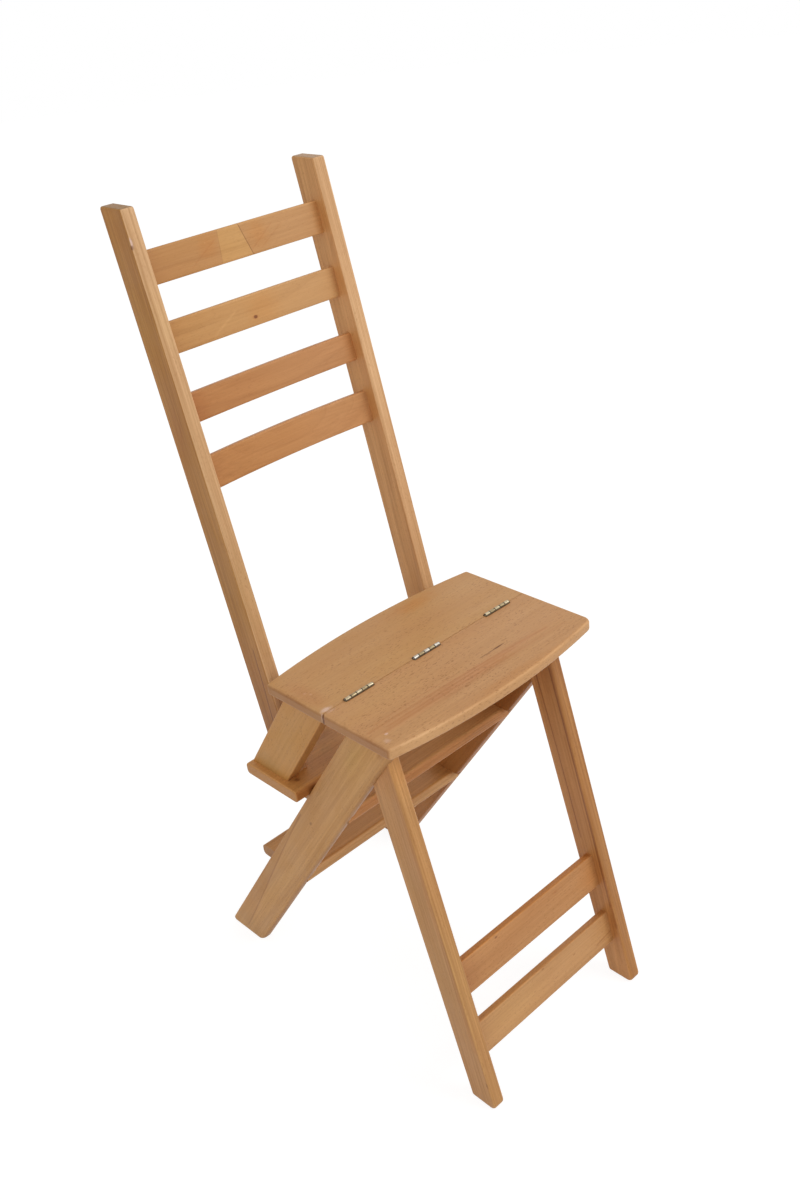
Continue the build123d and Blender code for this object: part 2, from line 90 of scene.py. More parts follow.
class Bench:
    """Builds one node tree, of a material, a group or the world, a node at a time."""

    def __init__(self, tree: bpy.types.NodeTree) -> None:
        """Takes the tree that is built."""
        self.tree = tree
        self.count = 0

    def node(self, kind: str, **settings: Value) -> bpy.types.Node:
        """Adds a node.

        Args:
            kind: The node's type name.
            settings: Its properties, by name.

        Returns:
            The node.
        """
        made = self.tree.nodes.new(kind)
        for name, value in settings.items():
            setattr(made, name, value)
        made.location = ((self.count % 12) * 190, -(self.count // 12) * 260)
        self.count += 1
        return made

    def put(self, socket: bpy.types.NodeSocket, value: Value) -> None:
        """Links a socket into another, or sets it to a constant."""
        if isinstance(value, bpy.types.NodeSocket):
            self.tree.links.new(value, socket)
        elif value is not None:
            wide = hasattr(socket.default_value, "__len__")
            if wide and socket.type == "RGBA" and len(value) == 3:
                value = (*value, 1.0)
            socket.default_value = value

    def math(self, operation: str, a: Value, b: Value = None, c: Value = None,
             clamp: bool = False) -> bpy.types.NodeSocket:
        """Adds a Math node and returns its output."""
        made = self.node("ShaderNodeMath", operation=operation, use_clamp=clamp)
        for socket, value in zip(made.inputs, (a, b, c)):
            self.put(socket, value)
        return made.outputs[0]

    def vector(self, operation: str, a: Value, b: Value = None,
               scale: Value = None) -> bpy.types.NodeSocket:
        """Adds a Vector Math node.

        Args:
            operation: What it works out.
            a: Its first vector.
            b: Its second vector, where it has one.
            scale: What it multiplies by, where it scales.

        Returns:
            Its output, a number where the operation gives one.
        """
        made = self.node("ShaderNodeVectorMath", operation=operation)
        self.put(made.inputs[0], a)
        self.put(made.inputs[1], b)
        if scale is not None:
            self.put(made.inputs["Scale"], scale)
        number = operation in ("LENGTH", "DOT_PRODUCT", "DISTANCE")
        return made.outputs["Value" if number else "Vector"]

    def split(self, value: Value) -> tuple[bpy.types.NodeSocket, ...]:
        """Parts a vector and returns its X, Y and Z."""
        made = self.node("ShaderNodeSeparateXYZ")
        self.put(made.inputs[0], value)
        return tuple(made.outputs)

    def span(self, value: Value, low: Value, high: Value, to_low: Value = 0.0, to_high: Value = 1.0,
             smooth: bool = False) -> bpy.types.NodeSocket:
        """Maps a number from one range to another, held at its ends.

        Args:
            value: The number.
            low: Where the range starts.
            high: Where it ends.
            to_low: What its start becomes.
            to_high: What its end becomes.
            smooth: Whether it eases in and out.

        Returns:
            The mapped number.
        """
        made = self.node("ShaderNodeMapRange", clamp=True,
                         interpolation_type="SMOOTHSTEP" if smooth else "LINEAR")
        for name, part in zip(("Value", "From Min", "From Max", "To Min", "To Max"),
                              (value, low, high, to_low, to_high)):
            self.put(made.inputs[name], part)
        return made.outputs["Result"]

    def blend(self, share: Value, a: Value, b: Value, way: str = "MIX") -> bpy.types.NodeSocket:
        """Mixes two colours by a share and returns the result."""
        made = self.node("ShaderNodeMix", data_type="RGBA", blend_type=way, clamp_factor=True)
        self.put(made.inputs["Factor"], share)
        self.put([s for s in made.inputs if s.name == "A" and s.type == "RGBA"][0], a)
        self.put([s for s in made.inputs if s.name == "B" and s.type == "RGBA"][0], b)
        return [s for s in made.outputs if s.type == "RGBA"][0]

    def noise(self, place: Value, stretch: Triple, detail: float = 2.0, rough: float = 0.5,
              colour: bool = False) -> bpy.types.NodeSocket:
        """Adds noise that is stretched by a number along each axis.

        Args:
            place: Where it is read.
            stretch: How many times it changes in a metre along each axis.
            detail: How many finer layers it has.
            rough: How strong those are.
            colour: Whether three values are wanted and not one.

        Returns:
            The noise.
        """
        made = self.node("ShaderNodeTexNoise", noise_dimensions="3D")
        self.put(made.inputs["Vector"], self.vector("MULTIPLY", place, stretch))
        self.put(made.inputs["Scale"], 1.0)
        self.put(made.inputs["Detail"], detail)
        self.put(made.inputs["Roughness"], rough)
        return made.outputs["Color" if colour else "Fac"]

    def bump(self, height: Value, strength: float, depth: float) -> bpy.types.NodeSocket:
        """Adds relief to the surface.

        Args:
            height: The relief, from a pattern.
            strength: How much of it shows.
            depth: How deep it is, in metres.

        Returns:
            The normal to give to the shader.
        """
        made = self.node("ShaderNodeBump")
        for name, value in (("Strength", strength), ("Distance", depth), ("Height", height)):
            self.put(made.inputs[name], value)
        return made.outputs["Normal"]

    def seen(self) -> bpy.types.NodeSocket:
        """Returns 1 where the eye, a reflection or a ray through glass looks, and 0 for plain light."""
        path = self.node("ShaderNodeLightPath")
        seen = self.math("MAXIMUM", path.outputs["Is Camera Ray"], path.outputs["Is Glossy Ray"])
        return self.math("MAXIMUM", seen, path.outputs["Is Transmission Ray"])

    def group(self, tree: bpy.types.NodeTree, **values: Value) -> bpy.types.Node:
        """Places a shared group.

        Args:
            tree: The group's tree.
            values: What goes into its inputs, with _ for a space in a name.

        Returns:
            The group's node, whose outputs are read by name.
        """
        made = self.node("ShaderNodeGroup", node_tree=tree)
        for name, value in values.items():
            self.put(made.inputs[name.replace("_", " ")], value)
        return made


def new_group(name: str, inputs: dict[str, Value],
              outputs: tuple[str, ...]) -> tuple[Bench, dict[str, bpy.types.NodeSocket],
                                                 dict[str, bpy.types.NodeSocket]]:
    """Starts a shared group of nodes.

    Args:
        name: The group's name.
        inputs: Its inputs with their usual values, three numbers for a vector.
        outputs: Its outputs, all of them numbers.

    Returns:
        The bench for its nodes, its inputs as sockets to read and its outputs as sockets to fill.
    """
    tree = bpy.data.node_groups.new(name, "ShaderNodeTree")
    for title, value in inputs.items():
        kind = "NodeSocketVector" if isinstance(value, tuple) else "NodeSocketFloat"
        made = tree.interface.new_socket(title, in_out="INPUT", socket_type=kind)
        made.default_value = value
    for title in outputs:
        tree.interface.new_socket(title, in_out="OUTPUT", socket_type="NodeSocketFloat")
    bench = Bench(tree)
    start = bench.node("NodeGroupInput")
    end = bench.node("NodeGroupOutput")
    return (bench, {s.name: s for s in start.outputs if s.name},
            {s.name: s for s in end.inputs if s.name})


class SharedEffects:
    """The effects that several finishes use, each built once as a group of nodes."""

    def __init__(self) -> None:
        """Builds the groups."""
        self.timber = self.timber_figure()
        self.wear_and_highlight = self.arris_wear_and_highlight()
        self.patch = self.soft_patch()
        self.line = self.drawn_line()
        self.marks = self.handling_marks()

    @staticmethod
    def timber_figure() -> bpy.types.NodeTree:
        """Annual rings, fibre, ray flecks and slow drift of tone, read in a board's own axes."""
        bench, given, out = new_group(
            "timber_figure",
            {"Place": (0.0, 0.0, 0.0), "Seed": 0.0, "Heart": (0.0, 0.02, -0.08), "Ring Width": 0.004,
             "Wander": 0.004},
            ("Rings", "Growth", "Fibre", "Flecks", "Cloud"))
        step = bench.vector("SCALE", (13.7, 7.3, 3.1), scale=given["Seed"])
        place = bench.vector("ADD", given["Place"], step)
        drift = bench.noise(place, (4.0, 15.0, 15.0), 2.0, 0.5, colour=True)
        drift = bench.vector("SUBTRACT", drift, (0.5, 0.5, 0.5))
        drift = bench.vector("SCALE", drift, scale=given["Wander"])
        away = bench.vector("SUBTRACT", bench.vector("ADD", given["Place"], drift), given["Heart"])
        across = bench.vector("LENGTH", bench.vector("MULTIPLY", away, (0.03, 1.0, 1.0)))
        radius = bench.math("MULTIPLY_ADD", bench.split(away)[0], 0.012, across)
        turns = bench.math("DIVIDE", radius, given["Ring Width"])
        count = bench.math("MULTIPLY_ADD", given["Seed"], 17.3, turns)
        bands = bench.node("ShaderNodeTexNoise", noise_dimensions="1D")
        for name, value in (("W", count), ("Scale", 1.0), ("Detail", 2.0), ("Roughness", 0.55)):
            bench.put(bands.inputs[name], value)
        bench.put(out["Rings"], bench.span(bands.outputs["Fac"], 0.3, 0.7))
        tooth = bench.math("FRACT", bench.math("MULTIPLY_ADD", bands.outputs["Fac"], 1.4, count))
        bench.put(out["Growth"], bench.math("POWER", tooth, 4.0))
        fibre = bench.noise(place, (8.0, 420.0, 420.0), 3.0, 0.62)
        bench.put(out["Fibre"], bench.span(fibre, 0.28, 0.72))
        cloud = bench.noise(place, (6.0, 26.0, 26.0), 3.0, 0.5)
        bench.put(out["Cloud"], bench.span(cloud, 0.3, 0.7))
        flecks = bench.noise(place, (260.0, 800.0, 800.0), 1.0, 0.4)
        often = bench.span(bench.noise(place, (12.0, 40.0, 40.0), 2.0, 0.5), 0.35, 0.6, 0.3, 1.0)
        bench.put(out["Flecks"], bench.math("MULTIPLY", bench.span(flecks, 0.6, 0.7), often))
        return bench.tree

    @staticmethod
    def arris_wear_and_highlight() -> bpy.types.NodeTree:
        """Where an arris is rubbed, and on the beech where it carries a painted highlight, broken up by a
        grain-scale roughness.
        """
        bench, given, out = new_group(
            "arris_wear_and_highlight", {"Place": (0.0, 0.0, 0.0), "Seed": 0.0, "Arris": 0.0}, ("Rub_and_highlight",))
        edge = bench.span(given["Arris"], 0.03, 0.2)
        step = bench.vector("SCALE", (5.1, 9.7, 2.3), scale=given["Seed"])
        rough = bench.noise(bench.vector("ADD", given["Place"], step), (25.0, 160.0, 160.0), 3.0, 0.6)
        bench.put(out["Rub_and_highlight"], bench.math("MULTIPLY", edge, bench.span(rough, 0.28, 0.52)))
        return bench.tree

    @staticmethod
    def soft_patch() -> bpy.types.NodeTree:
        """A soft-edged patch with a ragged outline, for knots, scuffs, stains and specks, and for painted
        shade and painted highlights.
        """
        bench, given, out = new_group(
            "soft_patch",
            {"Place": (0.0, 0.0, 0.0), "Centre": (0.0, 0.0, 0.0), "Size": (0.01, 0.01, 0.01),
             "Ragged": 0.4, "Grain": (90.0, 320.0, 320.0), "Soft": 0.5}, ("Patch",))
        away = bench.vector("SUBTRACT", given["Place"], given["Centre"])
        share = bench.vector("LENGTH", bench.vector("DIVIDE", away, given["Size"]))
        torn = bench.node("ShaderNodeTexNoise", noise_dimensions="3D")
        bench.put(torn.inputs["Vector"], bench.vector("MULTIPLY", given["Place"], given["Grain"]))
        for name, value in (("Scale", 1.0), ("Detail", 3.0), ("Roughness", 0.6)):
            bench.put(torn.inputs[name], value)
        shift = bench.math("MULTIPLY", bench.math("SUBTRACT", torn.outputs["Fac"], 0.5), 2.0)
        edge = bench.math("MULTIPLY_ADD", shift, given["Ragged"], share)
        inner = bench.math("SUBTRACT", 1.0, given["Soft"])
        bench.put(out["Patch"], bench.span(edge, inner, 1.0, 1.0, 0.0, smooth=True))
        return bench.tree

    @staticmethod
    def drawn_line() -> bpy.types.NodeTree:
        """A thin curved line over a board, such as a crack, a glue line, a dark growth line, a painted
        shadow or a painted highlight.
        """
        bench, given, out = new_group(
            "drawn_line",
            {"Place": (0.0, 0.0, 0.0), "Begin": (-0.1, 0.0, 0.0), "Finish": (0.1, 0.0, 0.0),
             "Bow": 0.0, "Swing": 0.0, "Width": 0.0006, "Ragged": 0.0006}, ("Line", "Beyond"))
        x, y = bench.split(given["Place"])[:2]
        first, from_y = bench.split(given["Begin"])[:2]
        last, to_y = bench.split(given["Finish"])[:2]
        share = bench.span(x, first, last)
        path = bench.span(x, first, last, from_y, to_y)
        arch = bench.math("MULTIPLY", share, bench.math("SUBTRACT", 1.0, share))
        arch = bench.math("MULTIPLY", arch, 4.0)
        path = bench.math("MULTIPLY_ADD", arch, given["Bow"], path)
        turn = bench.math("MULTIPLY", arch, bench.math("MULTIPLY_ADD", share, -2.0, 1.0))
        path = bench.math("MULTIPLY_ADD", turn, given["Swing"], path)
        waver = bench.noise(given["Place"], (70.0, 12.0, 12.0), 3.0, 0.6)
        waver = bench.math("MULTIPLY", bench.math("SUBTRACT", waver, 0.5), given["Ragged"])
        off = bench.math("SUBTRACT", bench.math("SUBTRACT", y, path), waver)
        near = bench.span(bench.math("ABSOLUTE", off), 0.0, given["Width"], 1.0, 0.0, smooth=True)
        begin = bench.span(x, first, bench.math("ADD", first, 0.004))
        finish = bench.span(x, bench.math("SUBTRACT", last, 0.004), last, 1.0, 0.0)
        whole = bench.math("MULTIPLY", begin, finish)
        bench.put(out["Line"], bench.math("MULTIPLY", near, whole))
        bench.put(out["Beyond"], bench.math("MULTIPLY", bench.math("GREATER_THAN", off, 0.0), whole))
        return bench.tree

    @staticmethod
    def handling_marks() -> bpy.types.NodeTree:
        """Fine scratches, dust specks and dull patches that years of handling leave."""
        bench, given, out = new_group(
            "handling_marks", {"Place": (0.0, 0.0, 0.0), "Seed": 0.0}, ("Scratches", "Specks", "Dull"))
        step = bench.vector("SCALE", (3.3, 11.9, 6.1), scale=given["Seed"])
        place = bench.vector("ADD", given["Place"], step)
        thin = bench.noise(place, (35.0, 900.0, 900.0), 1.0, 0.5)
        rare = bench.noise(place, (16.0, 30.0, 30.0), 1.0, 0.5)
        scratch = bench.math("MULTIPLY", bench.span(thin, 0.7, 0.76), bench.span(rare, 0.5, 0.62))
        bench.put(out["Scratches"], scratch)
        cells = bench.node("ShaderNodeTexVoronoi", voronoi_dimensions="3D", feature="F1")
        bench.put(cells.inputs["Vector"], place)
        bench.put(cells.inputs["Scale"], 95.0)
        pick = bench.node("ShaderNodeSeparateColor")
        bench.put(pick.inputs[0], cells.outputs["Color"])
        kept = bench.math("GREATER_THAN", pick.outputs[0], 0.8)
        dot = bench.span(cells.outputs["Distance"], 0.04, 0.1, 1.0, 0.0)
        bench.put(out["Specks"], bench.math("MULTIPLY", dot, kept))
        dull = bench.noise(place, (18.0, 45.0, 45.0), 4.0, 0.6)
        bench.put(out["Dull"], bench.span(dull, 0.4, 0.68))
        return bench.tree


class Stain(Enum):
    """How a mark changes the wood under it, as factors of red, green and blue. Some of them are used for
    painted shade and painted highlights.
    """

    # Dark lines and spots: real cracks, seams and knots, and painted shadow in slots, gaps and notches.
    CRACK_AND_GAP_SHADE = (0.42, 0.31, 0.23)
    BROWN = (0.78, 0.68, 0.58)
    RED = (0.93, 0.82, 0.76)
    ORANGE = (1.02, 0.90, 0.70)
    AMBER = (0.90, 0.82, 0.66)
    # Painted shade on the inner face of a side board, which lies in shadow.
    INNER_FACE_SHADE = (0.76, 0.66, 0.50)
    OLIVE = (0.93, 0.97, 0.86)
    GREY = (0.88, 0.96, 1.12)
    PINK = (1.04, 1.08, 1.22)
    HONEY = (1.12, 1.20, 1.15)
    PALE = (1.12, 1.17, 1.25)
    # Chalk dust; on the seat's nose corner it is also a painted highlight.
    CHALK_AND_HIGHLIGHT = (1.32, 1.70, 3.40)


@dataclass(frozen=True)
class Patch:
    """A soft mark: its middle and its reach in the board's own axes, grain along the first."""

    at: Triple
    reach: Triple
    stain: Stain
    strength: float = 0.6
    ragged: float = 0.5
    soft: float = 0.7
    grain: Triple = (90.0, 320.0, 320.0)


@dataclass(frozen=True)
class Line:
    """A thin mark through a board, between two places given along and across its grain.

    The bow is how far its middle lies off the straight, and the swing how far it strays to one side
    and then to the other. Beyond it, towards the board's further edge, the wood may have another tone.
    """

    begin: tuple[float, float]
    finish: tuple[float, float]
    width: float
    stain: Stain = Stain.BROWN
    strength: float = 0.7
    bow: float = 0.0
    swing: float = 0.0
    ragged: float = 0.0008
    beyond: Stain | None = None
    beyond_strength: float = 0.0


@dataclass(frozen=True)
class Inlay:
    """A block glued into a board over its whole width, between two edges that lean."""

    left: float
    left_lean: float
    right: float
    right_lean: float
    half_width: float
    stain: Stain = Stain.PALE
    strength: float = 0.6
    seam_width: float = 0.0009
    left_seam: float = 0.2
    right_seam: float = 0.8


@dataclass(frozen=True)
class BeechFinish:
    """Lacquered beech: the plank's own tone, with its rings, blush, flecks and rubbing drawn from it,
    painted light and shade on its narrow faces and a painted highlight on its arrises.
    """

    base: Colour = shade(190, 138, 84)
    # edge: painted light and shade, a factor that makes the narrow faces lighter or darker than the broad
    # faces.
    edge: Triple = (1.0, 1.0, 1.0)
    pale: Triple = (1.17, 1.19, 1.22)
    deep: Triple = (0.80, 0.73, 0.64)
    blush: Triple = (0.99, 0.86, 0.74)
    fleck: Triple = (0.62, 0.47, 0.33)
    # rubbed: lifts the arrises as a painted highlight mixed with rubbing; its tone also colours scratches
    # and specks.
    rubbed: Triple = (1.22, 1.30, 1.45)
    end: Triple = (0.66, 0.56, 0.46)
    ring_share: float = 0.35
    fibre_share: float = 0.45
    growth_share: float = 0.2
    blush_share: float = 0.35
    fleck_share: float = 0.45
    rub_and_highlight_share: float = 0.85
    end_share: float = 0.5
    heart: Triple = (0.0, 0.02, -0.07)
    ring_width: float = 0.0045
    wander: float = 0.006
    roughness: float = 0.46
    gloss: float = 0.35
    coat: float = 0.08
    coat_roughness: float = 0.35
    scratch_share: float = 0.2
    speck_share: float = 0.25
    relief: float = 0.35
    relief_depth: float = 0.00025
    seed: float = 1.0
    patches: tuple[Patch, ...] = ()
    lines: tuple[Line, ...] = ()
    inlay: Inlay | None = None

    def tone(self, change: Triple) -> Colour:
        """Returns the plank's tone with each part changed by a factor."""
        return tuple(min(part * factor, 1.0) for part, factor in zip(self.base, change))

    def dress(self, node: str, run: Run, shared: SharedEffects) -> bpy.types.Material:
        """Gives a board its finish.

        Args:
            node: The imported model's node.
            run: Which way it lies.
            shared: The shared effects.

        Returns:
            The material, already in the node's slots.
        """
        material, bench, shader = new_material(f"beech_{node}")
        low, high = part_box(node)
        middle = (low + high) / 2
        axes = run.axes()
        place = own_axes(bench, middle, axes)
        figure = bench.group(shared.timber, Place=place, Seed=self.seed, Heart=self.heart,
                             Ring_Width=self.ring_width, Wander=self.wander).outputs
        tone = bench.math("MULTIPLY", figure["Rings"], self.ring_share)
        tone = bench.math("MULTIPLY_ADD", figure["Fibre"], self.fibre_share, tone)
        tone = bench.math("MULTIPLY_ADD", figure["Growth"], self.growth_share, tone, clamp=True)
        colour = bench.blend(tone, self.tone(self.pale), self.tone(self.deep))
        blush = bench.math("MULTIPLY", figure["Cloud"], self.blush_share)
        colour = bench.blend(blush, colour, self.tone(self.blush))
        fleck = bench.math("MULTIPLY", figure["Flecks"], self.fleck_share)
        colour = bench.blend(fleck, colour, self.tone(self.fleck))
        along, across, through = self.facings(bench, axes)
        cut = bench.span(along, 0.45, 0.95, smooth=True)
        ends = bench.math("MULTIPLY", cut, self.end_share)
        colour = bench.blend(ends, colour, self.tone(self.end))
        # Painted light and shade: faces that look across the board are made lighter or darker by the edge
        # factor.
        narrow = bench.span(across, 0.35, 0.85, smooth=True)
        colour = bench.blend(narrow, colour, self.edge, "MULTIPLY")
        colour = self.put_marks(bench, shared, place, colour)
        marks = bench.group(shared.marks, Place=place, Seed=self.seed).outputs
        # Painted highlight, mixed with rubbing: on the arrises, where the surface faces none of the board's
        # axes squarely, the colour is lifted by the rubbed factor.
        squarest = bench.math("MAXIMUM", bench.math("MAXIMUM", along, across), through)
        arris = bench.math("SUBTRACT", 1.0, squarest)
        rub_and_highlight = bench.group(shared.wear_and_highlight, Place=place, Seed=self.seed, Arris=arris).outputs["Rub_and_highlight"]
        rubbed = self.tone(self.rubbed)
        worn = bench.math("MULTIPLY", rub_and_highlight, self.rub_and_highlight_share)
        colour = bench.blend(worn, colour, self.rubbed, "MULTIPLY")
        scratched = bench.math("MULTIPLY", marks["Scratches"], self.scratch_share)
        colour = bench.blend(scratched, colour, rubbed)
        specked = bench.math("MULTIPLY", marks["Specks"], self.speck_share)
        colour = bench.blend(specked, colour, rubbed)
        bench.put(shader.inputs["Base Color"], colour)
        rough = bench.math("MULTIPLY_ADD", figure["Fibre"], 0.07, self.roughness)
        rough = bench.math("MULTIPLY_ADD", marks["Dull"], 0.1, rough)
        rough = bench.math("MULTIPLY_ADD", rub_and_highlight, 0.12, rough)
        bench.put(shader.inputs["Roughness"], rough)
        bench.put(shader.inputs["Specular IOR Level"], self.gloss)
        bench.put(shader.inputs["Coat Weight"], self.coat)
        bench.put(shader.inputs["Coat Roughness"], self.coat_roughness)
        height = bench.math("MULTIPLY", figure["Fibre"], 0.6)
        height = bench.math("MULTIPLY_ADD", figure["Growth"], -0.3, height)
        height = bench.math("MULTIPLY_ADD", figure["Flecks"], -0.5, height)
        height = bench.math("MULTIPLY_ADD", marks["Scratches"], -0.8, height)
        bench.put(shader.inputs["Normal"], bench.bump(height, self.relief, self.relief_depth))
        return put_on(node, material)

    @staticmethod
    def facings(bench: Bench, axes: Matrix) -> list[bpy.types.NodeSocket]:
        """Returns how squarely the surface faces along, across and through the board, from 0 to 1."""
        normal = bench.node("ShaderNodeTexCoord").outputs["Normal"]
        return [bench.math("ABSOLUTE", bench.vector("DOT_PRODUCT", normal, tuple(way))) for way in axes.col]

    def put_marks(self, bench: Bench, shared: SharedEffects, place: bpy.types.NodeSocket,
                  colour: bpy.types.NodeSocket) -> bpy.types.NodeSocket:
        """Lays the board's own inlay, patches and lines over its colour.

        Args:
            bench: The material's bench.
            shared: The shared effects.
            place: The place in the board's own axes.
            colour: The colour so far.

        Returns:
            The colour with the marks on it.
        """
        if self.inlay is not None:
            colour = self.put_inlay(bench, shared, place, colour)
        for patch in self.patches:
            mask = bench.group(shared.patch, Place=place, Centre=patch.at, Size=patch.reach,
                               Ragged=patch.ragged, Grain=patch.grain, Soft=patch.soft).outputs[0]
            shown = bench.math("MULTIPLY", mask, patch.strength)
            colour = bench.blend(shown, colour, patch.stain.value, "MULTIPLY")
        for line in self.lines:
            drawn = bench.group(shared.line, Place=place, Begin=(*line.begin, 0.0),
                                Finish=(*line.finish, 0.0), Bow=line.bow, Swing=line.swing,
                                Width=line.width, Ragged=line.ragged).outputs
            if line.beyond is not None:
                past = bench.math("MULTIPLY", drawn["Beyond"], line.beyond_strength)
                colour = bench.blend(past, colour, line.beyond.value, "MULTIPLY")
            shown = bench.math("MULTIPLY", drawn["Line"], line.strength)
            colour = bench.blend(shown, colour, line.stain.value, "MULTIPLY")
        return colour

    def put_inlay(self, bench: Bench, shared: SharedEffects, place: bpy.types.NodeSocket,
                  colour: bpy.types.NodeSocket) -> bpy.types.NodeSocket:
        """Lays the glued-in block over the colour: the block's tone, then a seam at each edge.

        Args:
            bench: The material's bench.
            shared: The shared effects.
            place: The place in the board's own axes.
            colour: The colour so far.

        Returns:
            The colour with the block on it.
        """
        inlay = self.inlay
        x, y, z = bench.split(place)
        turned = bench.node("ShaderNodeCombineXYZ")
        for socket, value in zip(turned.inputs, (y, x, z)):
            bench.put(socket, value)
        sides = []
        for at, lean in ((inlay.left, inlay.left_lean), (inlay.right, inlay.right_lean)):
            reach = lean * inlay.half_width
            sides.append(bench.group(
                shared.line, Place=turned.outputs[0], Begin=(-inlay.half_width, at - reach, 0.0),
                Finish=(inlay.half_width, at + reach, 0.0), Width=inlay.seam_width,
                Ragged=inlay.seam_width).outputs)
        left, right = sides
        within = bench.math("MULTIPLY", left["Beyond"], bench.math("SUBTRACT", 1.0, right["Beyond"]))
        shown = bench.math("MULTIPLY", within, inlay.strength)
        colour = bench.blend(shown, colour, inlay.stain.value, "MULTIPLY")
        for side, share in ((left, inlay.left_seam), (right, inlay.right_seam)):
            shown = bench.math("MULTIPLY", side["Line"], share)
            colour = bench.blend(shown, colour, Stain.CRACK_AND_GAP_SHADE.value, "MULTIPLY")
        return colour


@dataclass(frozen=True)
class DowelFinish:
    """Bare turned beech of the dowels, paler than the lacquered boards."""

    pale: Colour = shade(222, 186, 142)
    deep: Colour = shade(188, 145, 100)
    ring_width: float = 0.0016
    relief: float = 0.4
    relief_depth: float = 0.0002
    seed: float = 4.0

    def dress(self, node: str, shared: SharedEffects) -> bpy.types.Material:
        """Gives the dowels their finish.

        Args:
            node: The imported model's node.
            shared: The shared effects.

        Returns:
            The material, already in the node's slots.
        """
        material, bench, shader = new_material(f"bare_{node}")
        low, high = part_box(node)
        place = own_axes(bench, (low + high) / 2, Run.BOARD.axes())
        figure = bench.group(shared.timber, Place=place, Seed=self.seed,
                             Ring_Width=self.ring_width).outputs
        rings = bench.math("MULTIPLY", figure["Rings"], 0.5)
        tone = bench.math("MULTIPLY_ADD", figure["Fibre"], 0.5, rings)
        bench.put(shader.inputs["Base Color"], bench.blend(tone, self.pale, self.deep))
        bench.put(shader.inputs["Roughness"], bench.span(figure["Fibre"], 0.0, 1.0, 0.62, 0.78))
        relief = bench.bump(figure["Fibre"], self.relief, self.relief_depth)
        bench.put(shader.inputs["Normal"], relief)
        return put_on(node, material)


